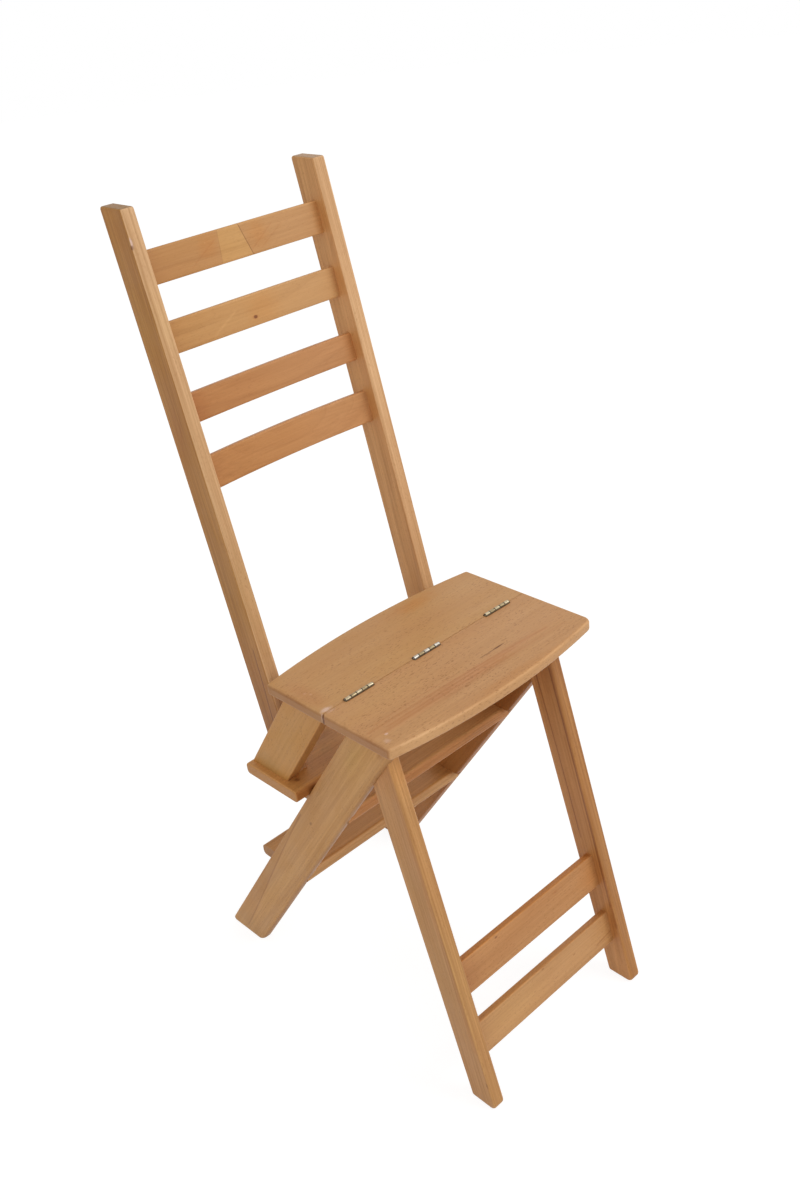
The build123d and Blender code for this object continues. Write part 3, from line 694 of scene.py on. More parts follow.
@dataclass(frozen=True)
class PlateFinish:
    """Worn plate on steel or brass: bright where it is rubbed, brown where it has dulled, with painted
    shade on the barrel's sides and in the gaps between its knuckles.
    """

    bright: Colour = shade(214, 204, 172)
    dull: Colour = shade(150, 128, 88)
    # The dirt colour, also used for painted shade on the barrel's sides and in the gaps between knuckles.
    grime_and_shade: Colour = shade(64, 46, 28)
    dull_share: float = 0.6
    grime_share: float = 0.5
    # How strong the painted shade on the barrel's sides is.
    side_shade_share: float = 0.75
    rub_and_highlight_share: float = 0.6
    stained_and_shaded_metal: float = 0.35
    relief: float = 0.3
    relief_depth: float = 0.00008
    barrel_height: float = 0.002
    barrel_fade: float = 0.001
    knuckle: float = 0.0
    arris_reach: float = 0.0004
    smooth: float = 0.26
    seed: float = 1.0

    def dress(self, node: str, shared: SharedEffects) -> bpy.types.Material:
        """Gives a metal node its finish.

        Args:
            node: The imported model's node.
            shared: The shared effects.

        Returns:
            The material, already in the node's slots.
        """
        material, bench, shader = new_material(f"plate_{node}")
        low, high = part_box(node)
        place = own_axes(bench, (low + high) / 2, Run.FLAT.axes())
        marks = bench.group(shared.marks, Place=place, Seed=self.seed).outputs
        step = (self.seed * 2.1, self.seed * 4.7, self.seed * 1.3)
        moved = bench.vector("ADD", place, step)
        clouds = bench.span(bench.noise(moved, (160.0, 420.0, 420.0), 4.0, 0.6), 0.38, 0.64)
        turned = bench.span(bench.noise(moved, (2600.0, 90.0, 90.0), 2.0, 0.5), 0.3, 0.7)
        colour = bench.blend(bench.math("MULTIPLY", clouds, self.dull_share), self.bright, self.dull)
        rounded = bench.node("ShaderNodeBevel", samples=4)
        bench.put(rounded.inputs["Radius"], self.arris_reach)
        flat = bench.node("ShaderNodeNewGeometry").outputs["Normal"]
        same = bench.vector("DOT_PRODUCT", rounded.outputs["Normal"], flat)
        arris = bench.math("SUBTRACT", 1.0, same)
        rub_and_highlight = bench.group(shared.wear_and_highlight, Place=place, Seed=self.seed, Arris=arris).outputs["Rub_and_highlight"]
        stain = bench.span(bench.noise(moved, (520.0, 900.0, 900.0), 3.0, 0.6), 0.56, 0.7)
        stained_and_shaded = bench.math("MULTIPLY", stain, self.grime_share)
        # Painted shade: faces of the barrel that turn away from up are darkened with the dirt colour and
        # made less metallic.
        coordinates = bench.node("ShaderNodeTexCoord")
        upward = bench.vector("DOT_PRODUCT", coordinates.outputs["Normal"], (0.0, 0.0, 1.0))
        side = bench.span(upward, 0.3, 0.8, self.side_shade_share, 0.0)
        height = bench.split(place)[2]
        on_barrel = bench.span(height, self.barrel_height, self.barrel_height + self.barrel_fade)
        side = bench.math("MULTIPLY", side, on_barrel)
        stained_and_shaded = bench.math("MAXIMUM", stained_and_shaded, side)
        # Painted shade in the gaps between the knuckles.
        if self.knuckle:
            stained_and_shaded = bench.math("MAXIMUM", stained_and_shaded, self.knuckle_gap_shade(bench, place))
        colour = bench.blend(stained_and_shaded, colour, self.grime_and_shade)
        colour = bench.blend(bench.math("MULTIPLY", rub_and_highlight, self.rub_and_highlight_share), colour, self.bright)
        bench.put(shader.inputs["Base Color"], colour)
        metal = bench.span(stained_and_shaded, 0.0, 1.0, 1.0, self.stained_and_shaded_metal)
        bench.put(shader.inputs["Metallic"], metal)
        rough = bench.math("MULTIPLY_ADD", clouds, 0.2, self.smooth)
        rough = bench.math("MULTIPLY_ADD", turned, 0.08, rough)
        rough = bench.math("MULTIPLY_ADD", stained_and_shaded, 0.4, rough, clamp=True)
        bench.put(shader.inputs["Roughness"], rough)
        height = bench.math("MULTIPLY_ADD", turned, 0.5, bench.math("MULTIPLY", clouds, -0.5))
        height = bench.math("MULTIPLY_ADD", marks["Scratches"], -0.8, height)
        bench.put(shader.inputs["Normal"], bench.bump(height, self.relief, self.relief_depth))
        return put_on(node, material)

    def knuckle_gap_shade(self, bench: Bench, place: bpy.types.NodeSocket) -> bpy.types.NodeSocket:
        """Returns the painted shade in the gaps between a hinge's knuckles, from 0 to 1."""
        turns = bench.math("DIVIDE", bench.split(place)[0], self.knuckle)
        part = bench.math("FRACT", bench.math("ADD", turns, 0.5))
        away = bench.math("SUBTRACT", 0.5, bench.math("ABSOLUTE", bench.math("SUBTRACT", part, 0.5)))
        return bench.span(away, 0.05, 0.12, 0.95, 0.0)


def new_material(name: str) -> tuple[bpy.types.Material, Bench, bpy.types.Node]:
    """Starts a material with one Principled shader.

    Args:
        name: The material's name.

    Returns:
        The material, its bench and its shader.
    """
    material = bpy.data.materials.new(name)
    material.use_nodes = True
    material.node_tree.nodes.clear()
    bench = Bench(material.node_tree)
    shader = bench.node("ShaderNodeBsdfPrincipled")
    out = bench.node("ShaderNodeOutputMaterial")
    bench.put(out.inputs["Surface"], shader.outputs["BSDF"])
    return material, bench, shader


def own_axes(bench: Bench, middle: Vector, axes: Matrix) -> bpy.types.NodeSocket:
    """Reads the place on a piece in its own axes, from its middle, grain along X.

    Args:
        bench: The material's bench.
        middle: The piece's middle in the frame.
        axes: The turn from the piece's axes to the frame's.

    Returns:
        The place in metres.
    """
    coordinates = bench.node("ShaderNodeTexCoord")
    mapping = bench.node("ShaderNodeMapping", vector_type="TEXTURE")
    bench.put(mapping.inputs["Vector"], coordinates.outputs["Object"])
    bench.put(mapping.inputs["Location"], tuple(middle))
    bench.put(mapping.inputs["Rotation"], tuple(axes.to_euler("XYZ")))
    return mapping.outputs["Vector"]


def put_on(node: str, material: bpy.types.Material) -> bpy.types.Material:
    """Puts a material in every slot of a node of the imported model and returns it."""
    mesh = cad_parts[node].data
    for number in range(len(mesh.materials)):
        mesh.materials[number] = material
    if not mesh.materials:
        mesh.materials.append(material)
    LOG.info("dressed %s", node)
    return material


@dataclass
class Seat:
    """The seat's two halves, each one board with its grain from side to side."""

    front: BeechFinish = BeechFinish(
        base=shade(193, 144, 94), edge=(1.01, 1.04, 1.05), seed=1.0, heart=(0.0, 0.03, -0.05),
        ring_share=0.16, fibre_share=0.3, growth_share=0.04, blush_share=0.4, fleck_share=0.7,
        end=(0.66, 0.52, 0.40), end_share=0.7,
        patches=(
            Patch((-0.02, -0.013, 0.0), (0.17, 0.014, 0.04), Stain.RED, 0.75, 0.3, 0.8),
            Patch((0.10, 0.01, 0.0), (0.08, 0.06, 0.04), Stain.PINK, 0.45, 0.2, 0.9),
            Patch((-0.10, 0.028, 0.0), (0.09, 0.03, 0.04), Stain.HONEY, 0.45, 0.4, 0.9),
            Patch((0.02, -0.047, 0.0), (0.10, 0.009, 0.02), Stain.ORANGE, 0.5, 0.3, 0.8),
            # Painted highlight along the nose's top arris at the near corner.
            Patch((-0.11, -0.046, 0.0), (0.055, 0.016, 0.03), Stain.PALE, 0.9, 0.4, 0.9),
            Patch((0.02, -0.02, 0.0), (0.05, 0.01, 0.03), Stain.AMBER, 0.35, 0.4, 0.9),
            Patch((-0.132, -0.019, 0.0066), (0.0026, 0.0018, 0.004), Stain.CHALK_AND_HIGHLIGHT, 0.7, 0.5, 0.5),
            Patch((-0.139, -0.028, 0.0066), (0.005, 0.005, 0.004), Stain.CHALK_AND_HIGHLIGHT, 0.4, 0.5, 0.9),
            Patch((-0.139, 0.053, 0.0066), (0.008, 0.003, 0.006), Stain.CHALK_AND_HIGHLIGHT, 0.3, 0.5, 0.8),
            Patch((-0.1475, -0.02, 0.0045), (0.003, 0.036, 0.003), Stain.BROWN, 0.9, 0.3, 0.9),
            Patch((-0.149, 0.012, -0.0055), (0.003, 0.04, 0.0022), Stain.PALE, 0.8, 0.4, 0.8),
            # A painted highlight on the nose's near corner arris, with dust on it.
            Patch((-0.146, -0.052, -0.001), (0.0035, 0.004, 0.008), Stain.CHALK_AND_HIGHLIGHT, 0.25, 0.4, 0.9),
            # Painted shade in the notch at the near end of the split, on the seat's end.
            Patch((-0.149, 0.0545, 0.001), (0.0035, 0.0028, 0.009), Stain.CRACK_AND_GAP_SHADE, 1.0, 0.2, 0.4),
            Patch((-0.045, -0.015, 0.0), (0.06, 0.014, 0.03), Stain.BROWN, 0.3, 0.4, 1.0),
            Patch((-0.026, -0.024, 0.0066), (0.004, 0.0018, 0.004), Stain.BROWN, 0.9, 0.6, 0.6),
            Patch((0.047, 0.001, 0.0066), (0.010, 0.0018, 0.004), Stain.CRACK_AND_GAP_SHADE, 0.9, 0.4, 0.7),
        ),
        lines=(
            Line((-0.132, 0.0005), (-0.015, 0.0), 0.0016, Stain.RED, 0.8, 0.001),
            Line((-0.146, -0.005), (0.11, -0.014), 0.0026, Stain.RED, 0.75, 0.003),
            Line((-0.125, -0.0115), (0.06, -0.014), 0.0022, Stain.RED, 0.7, 0.0015),
            Line((-0.135, -0.016), (0.04, -0.0185), 0.0022, Stain.RED, 0.8, 0.0015),
            Line((-0.06, -0.0225), (0.13, -0.0225), 0.0024, Stain.RED, 0.45, 0.001),
            Line((0.018, 0.0006), (0.058, 0.0011), 0.0012, Stain.CRACK_AND_GAP_SHADE, 0.8, ragged=0.0014),
        ))
    rear: BeechFinish = BeechFinish(
        base=shade(190, 142, 89), seed=2.0, heart=(0.0, -0.06, -0.06),
        ring_share=0.1, fibre_share=0.2, growth_share=0.0, blush_share=0.5, fleck_share=0.5,
        end=(0.66, 0.52, 0.40), end_share=0.7,
        patches=(
            Patch((0.055, 0.030, 0.0), (0.045, 0.017, 0.04), Stain.ORANGE, 0.7, 0.5, 0.9),
            Patch((-0.137, -0.012, 0.0), (0.018, 0.045, 0.04), Stain.RED, 0.9, 0.3, 0.9),
            Patch((-0.1475, 0.005, 0.0045), (0.003, 0.05, 0.003), Stain.BROWN, 1.0, 0.3, 0.9),
            Patch((-0.149, 0.0, -0.0055), (0.003, 0.05, 0.0022), Stain.PALE, 0.8, 0.4, 0.8),
            Patch((0.12, 0.005, 0.0), (0.05, 0.04, 0.04), Stain.PINK, 0.6, 0.3, 0.9),
            Patch((-0.141, -0.0475, 0.0066), (0.010, 0.0050, 0.006), Stain.CHALK_AND_HIGHLIGHT, 0.9, 0.5, 0.8),
            Patch((-0.149, -0.0500, 0.002), (0.003, 0.0013, 0.007), Stain.CHALK_AND_HIGHLIGHT, 0.8, 0.2, 0.6),
            Patch((0.05, 0.033, 0.0), (0.08, 0.014, 0.03), Stain.RED, 0.5, 0.4, 1.0),
            Patch((0.09, -0.036, 0.0), (0.07, 0.02, 0.03), Stain.PINK, 0.8, 0.3, 1.0),
            Patch((0.0, -0.035, 0.0), (0.16, 0.03, 0.04), Stain.HONEY, 0.3, 0.3, 0.9),
            Patch((-0.136, -0.009, 0.0066), (0.003, 0.002, 0.004), Stain.CHALK_AND_HIGHLIGHT, 0.3, 0.6, 0.7),
            Patch((-0.133, -0.015, 0.0066), (0.002, 0.002, 0.004), Stain.CHALK_AND_HIGHLIGHT, 0.3, 0.6, 0.7),
            Patch((-0.002, 0.014, 0.0066), (0.004, 0.003, 0.004), Stain.BROWN, 0.5, 0.6, 0.8),
        ))

    # The painted shadow in each hinge's slot: how far it lies beside the knuckle, and its width.
    slot_shadow_gap: float = 0.0007
    slot_spread: float = 0.0011
    hinges: tuple[str, ...] = ("left", "middle", "right")

    def slot_shadow_lines(self, half: str) -> tuple[Line, ...]:
        """Places a painted shadow on a half of the seat, in the slot beside each hinge's knuckles.

        Args:
            half: The half's node.

        Returns:
            One line for each hinge.
        """
        low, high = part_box(half)
        middle = (low + high) / 2
        lines = []
        for place in self.hinges:
            start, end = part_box(f"hinge_front_leaf_{place}")
            axis, knuckle = (start.y + end.y) / 2, (end.y - start.y) / 2
            side = -1 if middle.y < axis else 1
            across = axis + side * (knuckle + self.slot_shadow_gap) - middle.y
            lines.append(Line((start.x - middle.x - self.slot_spread, across),
                              (end.x - middle.x + self.slot_spread, across),
                              self.slot_spread, Stain.CRACK_AND_GAP_SHADE, 0.9))
        return tuple(lines)

    def dress(self, shared: SharedEffects) -> None:
        """Finishes both halves."""
        for half, finish in (("seat_front", self.front), ("seat_rear", self.rear)):
            marked = replace(finish, lines=finish.lines + self.slot_shadow_lines(half))
            marked.dress(half, Run.FLAT, shared)


@dataclass
class FrontLegs:
    """The two raked front legs and the rungs between them."""

    right: BeechFinish = BeechFinish(
        base=shade(194, 142, 86), edge=(1.02, 1.03, 1.00), seed=3.0,
        pale=(1.24, 1.29, 1.36), deep=(0.70, 0.61, 0.49),
        ring_width=0.006, ring_share=0.5, fibre_share=0.55,
        patches=(
            Patch((-0.15, 0.0, 0.0), (0.08, 0.02, 0.03), Stain.PINK, 0.6, 0.3, 0.9),
            Patch((0.05, 0.0, 0.0), (0.06, 0.02, 0.03), Stain.OLIVE, 0.5, 0.3, 0.9),
            Patch((0.185, 0.0, 0.0), (0.045, 0.05, 0.03), Stain.ORANGE, 0.8, 0.3, 0.9),
            # Painted highlight along the front arris at the top of the leg.
            Patch((0.18, 0.0205, 0.0), (0.05, 0.006, 0.03), Stain.PALE, 1.0, 0.3, 0.9),
            Patch((-0.05, 0.0, 0.0), (0.12, 0.05, 0.03), Stain.OLIVE, 0.5, 0.3, 1.0),
            Patch((-0.20, 0.0185, -0.0065), (0.006, 0.002, 0.003), Stain.CRACK_AND_GAP_SHADE, 0.6, 0.5, 0.7),
            Patch((0.055, -0.02, 0.0), (0.004, 0.004, 0.003), Stain.BROWN, 0.7, 0.5, 0.7),
        ),
        lines=(
            # Painted highlight along the leg's front arris.
            Line((-0.16, 0.016), (0.16, 0.0165), 0.0045, Stain.ORANGE, 0.6),
        ))
    left: BeechFinish = BeechFinish(
        base=shade(194, 137, 79), edge=(0.84, 0.80, 0.69), seed=4.0,
        pale=(1.24, 1.29, 1.36), deep=(0.70, 0.61, 0.49),
        ring_width=0.005, ring_share=0.5, fibre_share=0.55,
        patches=(
            Patch((0.195, 0.0, 0.0), (0.06, 0.05, 0.03), Stain.BROWN, 0.9, 0.3, 0.9),
            Patch((0.04, 0.0, 0.0), (0.08, 0.04, 0.03), Stain.PALE, 0.5, 0.4, 1.0),
            Patch((-0.12, -0.004, 0.0), (0.07, 0.03, 0.03), Stain.AMBER, 1.0, 0.4, 1.0),
            Patch((-0.20, -0.004, 0.0), (0.045, 0.03, 0.03), Stain.PALE, 0.7, 0.4, 1.0),
        ),
        lines=(
            Line((-0.16, 0.0175), (0.185, 0.017), 0.0034, Stain.BROWN, 1.0),
            Line((-0.13, 0.0160), (0.185, 0.0155), 0.0014, Stain.CRACK_AND_GAP_SHADE, 0.6, 0.001),
            Line((-0.21, 0.012), (0.10, 0.0125), 0.002, Stain.BROWN, 0.6),
            Line((-0.04, -0.003), (0.175, -0.0065), 0.0024, Stain.BROWN, 1.0, 0.001),
            Line((-0.03, -0.0032), (0.175, -0.0065), 0.0010, Stain.CRACK_AND_GAP_SHADE, 0.55, 0.001),
            Line((-0.215, -0.007), (-0.06, -0.005), 0.0016, Stain.BROWN, 0.4, 0.0),
        ))
    upper_rung: BeechFinish = BeechFinish(
        base=shade(190, 135, 82), edge=(1.06, 0.96, 0.73), seed=5.0,
        patches=(
            Patch((0.045, 0.013, 0.0), (0.006, 0.003, 0.03), Stain.RED, 0.9, 0.5, 0.7),
            Patch((-0.052, 0.017, 0.0), (0.003, 0.002, 0.03), Stain.CRACK_AND_GAP_SHADE, 0.7, 0.5, 0.6),
            Patch((-0.10, 0.0, 0.0), (0.03, 0.03, 0.03), Stain.BROWN, 0.4, 0.3, 0.9),
            Patch((0.10, 0.0, 0.0), (0.03, 0.03, 0.03), Stain.ORANGE, 0.6, 0.3, 0.9),
        ))
    lower_rung: BeechFinish = BeechFinish(
        base=shade(197, 148, 96), edge=(0.91, 0.79, 0.60), seed=6.0,
        patches=(
            Patch((-0.06, 0.0, 0.0), (0.08, 0.05, 0.03), Stain.HONEY, 0.5, 0.3, 1.0),
            Patch((0.11, 0.0, 0.0), (0.06, 0.05, 0.03), Stain.AMBER, 0.7, 0.3, 1.0),
            Patch((0.048, 0.004, 0.0), (0.003, 0.0015, 0.03), Stain.BROWN, 0.9, 0.5, 0.6),
            Patch((-0.002, 0.018, 0.0), (0.003, 0.0015, 0.03), Stain.BROWN, 0.9, 0.5, 0.6),
        ),
        lines=(
            Line((0.082, -0.0085), (0.113, -0.005), 0.0018, Stain.BROWN, 1.0),
        ))

    def dress(self, shared: SharedEffects) -> None:
        """Finishes the legs and rungs."""
        self.right.dress("front_leg_right", Run.LEG, shared)
        self.left.dress("front_leg_left", Run.LEG, shared)
        self.upper_rung.dress("upper_rung", Run.RUNG, shared)
        self.lower_rung.dress("lower_rung", Run.RUNG, shared)


@dataclass
class StepFrame:
    """The long sloping side boards and the two treads housed in them."""

    right: BeechFinish = BeechFinish(
        base=shade(194, 143, 81), edge=(0.77, 0.73, 0.76), seed=7.0, ring_width=0.006,
        pale=(1.21, 1.24, 1.29), deep=(0.74, 0.65, 0.54),
        patches=(
            Patch((-0.055, 0.0075, 0.0), (0.005, 0.0025, 0.02), Stain.CRACK_AND_GAP_SHADE, 0.6, 0.4, 0.7),
            Patch((-0.15, 0.0245, 0.0), (0.09, 0.0025, 0.02), Stain.RED, 0.8, 0.4, 0.8),
            Patch((-0.23, 0.006, 0.0), (0.10, 0.03, 0.02), Stain.HONEY, 0.8, 0.4, 1.0),
            Patch((-0.22, 0.008, 0.0), (0.04, 0.014, 0.02), Stain.OLIVE, 0.8, 0.4, 0.9),
            Patch((0.16, -0.012, 0.0), (0.14, 0.018, 0.02), Stain.PINK, 0.7, 0.3, 0.9),
            Patch((0.26, 0.0, 0.0), (0.05, 0.05, 0.02), Stain.GREY, 0.6, 0.3, 1.0),
            Patch((-0.262, -0.015, 0.0), (0.010, 0.007, 0.02), Stain.BROWN, 0.9, 0.4, 0.9),
        ),
        lines=(
            Line((-0.052, 0.0235), (0.268, 0.004), 0.0017, Stain.BROWN, 1.0, 0.0008, 0.0022,
                 beyond=Stain.BROWN, beyond_strength=0.3),
        ))
    left: BeechFinish = BeechFinish(
        base=shade(186, 132, 80), edge=(0.95, 0.90, 0.85), seed=8.0, rub_and_highlight_share=0.3, gloss=0.2, coat=0.0,
        patches=(
            # Painted shade over the inner face, which lies in shadow under the seat.
            Patch((0.0, 0.0, -0.0076), (0.8, 0.2, 0.011), Stain.INNER_FACE_SHADE, 1.0, 0.1, 0.6),
            Patch((-0.15, -0.012, -0.0076), (0.05, 0.03, 0.011), Stain.BROWN, 0.9, 0.3, 0.9),
            Patch((0.14, -0.012, -0.0076), (0.06, 0.03, 0.011), Stain.PALE, 1.0, 0.3, 0.9),
        ))
    middle_tread: BeechFinish = BeechFinish(
        base=shade(198, 149, 92), edge=(0.90, 0.74, 0.62), seed=9.0,
        pale=(1.22, 1.26, 1.32), deep=(0.70, 0.58, 0.46), blush_share=0.5)
    lower_tread: BeechFinish = BeechFinish(
        base=shade(183, 130, 71), edge=(1.20, 1.39, 1.91), seed=10.0,
        pale=(1.20, 1.23, 1.28), deep=(0.74, 0.64, 0.52), blush_share=0.5)

    def dress(self, shared: SharedEffects) -> None:
        """Finishes the boards and treads."""
        self.right.dress("long_side_board_right", Run.BOARD, shared)
        self.left.dress("long_side_board_left", Run.BOARD, shared)
        self.middle_tread.dress("middle_tread", Run.FLAT, shared)
        self.lower_tread.dress("lower_tread", Run.FLAT, shared)


@dataclass
class SlattedBack:
    """The back's uprights and its four slats."""

    right: BeechFinish = BeechFinish(
        base=shade(183, 127, 56), edge=(1.42, 1.91, 5.02), seed=11.0, ring_width=0.006,
        pale=(1.24, 1.29, 1.36), deep=(0.70, 0.61, 0.49),
        ring_share=0.55, fibre_share=0.6, end=(0.60, 0.66, 0.86), end_share=0.9,
        patches=(
            Patch((-0.20, 0.009, 0.0), (0.007, 0.005, 0.02), Stain.RED, 0.7, 0.5, 0.6),
            Patch((-0.202, 0.0075, 0.0), (0.003, 0.002, 0.02), Stain.PALE, 0.9, 0.5, 0.6),
            Patch((-0.25, 0.0, 0.0), (0.15, 0.05, 0.03), Stain.BROWN, 0.95, 0.3, 1.0),
            Patch((-0.09, 0.0, 0.0), (0.11, 0.03, 0.02), Stain.OLIVE, 0.8, 0.4, 0.9),
            Patch((0.08, -0.004, 0.0), (0.04, 0.02, 0.02), Stain.RED, 0.7, 0.5, 0.9),
            Patch((0.19, 0.0, 0.0), (0.07, 0.03, 0.02), Stain.HONEY, 0.8, 0.5, 0.9),
            Patch((0.295, 0.0, 0.0), (0.008, 0.03, 0.02), Stain.PALE, 0.6, 0.4, 0.9),
            Patch((0.2674, 0.017, -0.0075), (0.007, 0.003, 0.004), Stain.CHALK_AND_HIGHLIGHT, 0.5, 0.5, 0.7),
            Patch((0.2635, 0.017, -0.0075), (0.003, 0.002, 0.003), Stain.CRACK_AND_GAP_SHADE, 0.9, 0.5, 0.7),
            Patch((-0.22, -0.008, 0.0), (0.04, 0.008, 0.02), Stain.OLIVE, 0.6, 0.4, 0.9),
        ),
        lines=(
            Line((-0.252, 0.0018), (-0.155, 0.007), 0.0016, Stain.CRACK_AND_GAP_SHADE, 0.85, 0.0006, ragged=0.0014),
            Line((0.03, -0.014), (0.11, 0.012), 0.0016, Stain.RED, 0.7, -0.003),
            Line((0.05, -0.015), (0.13, 0.012), 0.0014, Stain.RED, 0.6, -0.003),
        ))
    left: BeechFinish = BeechFinish(
        base=shade(213, 159, 100), edge=(1.07, 1.22, 1.61), seed=12.0,
        pale=(1.24, 1.29, 1.36), deep=(0.70, 0.61, 0.49),
        ring_share=0.55, fibre_share=0.6, end=(0.60, 0.66, 0.86), end_share=0.9,
        patches=(
            Patch((0.10, 0.012, 0.0), (0.16, 0.014, 0.03), Stain.PALE, 1.0, 0.3, 0.9),
            Patch((-0.22, 0.0, 0.0), (0.12, 0.05, 0.03), Stain.AMBER, 0.6, 0.3, 1.0),
        ))
    top: BeechFinish = BeechFinish(
        base=shade(194, 143, 88), seed=13.0, fleck_share=0.2, ring_share=0.25,
        inlay=Inlay(-0.0215, 0.107, 0.0113, -0.286, 0.0185, Stain.HONEY, 1.0),
        patches=(
            Patch((-0.10, 0.0, 0.0), (0.14, 0.09, 0.09), Stain.AMBER, 0.8, 0.2, 1.0),
            Patch((0.095, 0.0, 0.0), (0.09, 0.09, 0.09), Stain.PINK, 1.0, 0.2, 1.0),
            # Painted shade at the slat's far end, where the left upright shades it.
            Patch((0.115, 0.0, 0.0), (0.018, 0.06, 0.06), Stain.ORANGE, 0.9, 0.3, 0.8),
            Patch((0.028, 0.004, 0.0), (0.018, 0.02, 0.06), Stain.ORANGE, 0.7, 0.5, 0.9),
            Patch((-0.035, 0.004, 0.0), (0.016, 0.02, 0.06), Stain.ORANGE, 0.7, 0.5, 0.9),
        ),
        lines=(
            Line((-0.06, -0.012), (-0.022, 0.010), 0.0014, Stain.RED, 0.6),
            Line((0.015, -0.012), (0.05, 0.010), 0.0014, Stain.RED, 0.6),
            Line((0.025, -0.014), (0.06, 0.006), 0.0014, Stain.RED, 0.5),
        ))
    upper: BeechFinish = BeechFinish(
        base=shade(199, 150, 93), seed=14.0, fleck_share=0.2, ring_share=0.25,
        patches=(
            Patch((-0.002, -0.007, 0.0), (0.0055, 0.0035, 0.06), Stain.RED, 1.0, 0.4, 0.7),
            Patch((-0.002, -0.007, 0.0), (0.0032, 0.0022, 0.06), Stain.CRACK_AND_GAP_SHADE, 1.0, 0.3, 0.5),
            Patch((-0.12, 0.0, 0.0), (0.11, 0.09, 0.09), Stain.AMBER, 0.9, 0.2, 1.0),
            Patch((0.08, 0.0, 0.0), (0.09, 0.09, 0.09), Stain.PINK, 1.0, 0.2, 1.0),
            Patch((0.01, 0.0, 0.0), (0.03, 0.03, 0.06), Stain.ORANGE, 0.5, 0.5, 0.9),
            # Painted shade at the slat's far end, where the left upright shades it.
            Patch((0.115, 0.0, 0.0), (0.014, 0.06, 0.06), Stain.RED, 1.0, 0.3, 0.8),
        ),
        lines=(
            Line((-0.058, -0.013), (-0.022, 0.006), 0.0022, Stain.PALE, 0.7),
        ))
    lower: BeechFinish = BeechFinish(
        base=shade(190, 133, 80), seed=15.0, fleck_share=0.2, ring_share=0.25,
        patches=(
            Patch((-0.12, 0.0, 0.0), (0.14, 0.09, 0.09), Stain.AMBER, 1.0, 0.2, 1.0),
            Patch((-0.12, 0.0, 0.0), (0.045, 0.06, 0.06), Stain.RED, 0.9, 0.3, 1.0),
            Patch((0.07, 0.0, 0.0), (0.09, 0.09, 0.09), Stain.PINK, 0.9, 0.2, 1.0),
            # Painted shade at the slat's far end, where the left upright shades it.
            Patch((0.115, 0.0, 0.0), (0.022, 0.06, 0.06), Stain.ORANGE, 0.8, 0.3, 0.9),
        ))
    bottom: BeechFinish = BeechFinish(
        base=shade(194, 137, 82), seed=16.0, fleck_share=0.2, ring_share=0.25,
        patches=(
            Patch((-0.10, 0.0, 0.0), (0.15, 0.09, 0.09), Stain.AMBER, 0.75, 0.2, 1.0),
            Patch((0.08, 0.0, 0.0), (0.10, 0.09, 0.09), Stain.PINK, 0.9, 0.2, 1.0),
        ))

    def dress(self, shared: SharedEffects) -> None:
        """Finishes the uprights and slats."""
        self.right.dress("back_upright_right", Run.UPRIGHT, shared)
        self.left.dress("back_upright_left", Run.UPRIGHT, shared)
        self.top.dress("top_back_slat", Run.SLAT, shared)
        self.upper.dress("upper_back_slat", Run.SLAT, shared)
        self.lower.dress("lower_back_slat", Run.SLAT, shared)
        self.bottom.dress("bottom_back_slat", Run.SLAT, shared)


@dataclass
class TopStep:
    """The short side boards behind the seat and the tread under them."""

    right: BeechFinish = BeechFinish(
        base=shade(189, 134, 67), edge=(0.82, 0.76, 0.85), seed=17.0, blush_share=0.2, ring_share=0.15,
        fibre_share=0.25,
        patches=(
            Patch((0.0, 0.0, 0.0), (0.09, 0.03, 0.03), Stain.OLIVE, 0.4, 0.3, 0.9),
            Patch((0.07, 0.0, -0.0076), (0.03, 0.04, 0.012), Stain.GREY, 0.9, 0.3, 0.9),
        ))
    left: BeechFinish = BeechFinish(base=shade(178, 124, 66), seed=18.0)
    tread: BeechFinish = BeechFinish(
        base=shade(202, 146, 81), edge=(0.72, 0.58, 0.48), seed=19.0,
        patches=(
            # Painted shadow in the gap at the tread's near front corner.
            Patch((-0.133, -0.027, 0.0), (0.005, 0.004, 0.02), Stain.CRACK_AND_GAP_SHADE, 0.8, 0.5, 0.6),
            Patch((-0.077, -0.010, 0.0), (0.014, 0.012, 0.02), Stain.GREY, 0.7, 0.5, 0.8),
            # The next three patches are painted shade, where the seat shades the tread's top.
            Patch((-0.08, -0.02, 0.0), (0.035, 0.02, 0.02), Stain.BROWN, 0.5, 0.6, 0.9),
            Patch((-0.07, 0.018, 0.0), (0.035, 0.016, 0.02), Stain.BROWN, 0.9, 0.6, 0.9),
            Patch((-0.062, 0.010, 0.0), (0.035, 0.03, 0.02), Stain.CRACK_AND_GAP_SHADE, 0.3, 0.4, 0.9),
            # Painted light on the lit part of the tread's near end.
            Patch((-0.119, -0.022, 0.0), (0.012, 0.010, 0.02), Stain.HONEY, 0.9, 0.5, 0.9),
            Patch((-0.13, 0.0, 0.0), (0.02, 0.03, 0.02), Stain.ORANGE, 0.6, 0.5, 0.9),
        ))

    def dress(self, shared: SharedEffects) -> None:
        """Finishes the boards and the tread."""
        self.right.dress("short_side_board_right", Run.BOARD, shared)
        self.left.dress("short_side_board_left", Run.BOARD, shared)
        self.tread.dress("top_tread", Run.FLAT, shared)


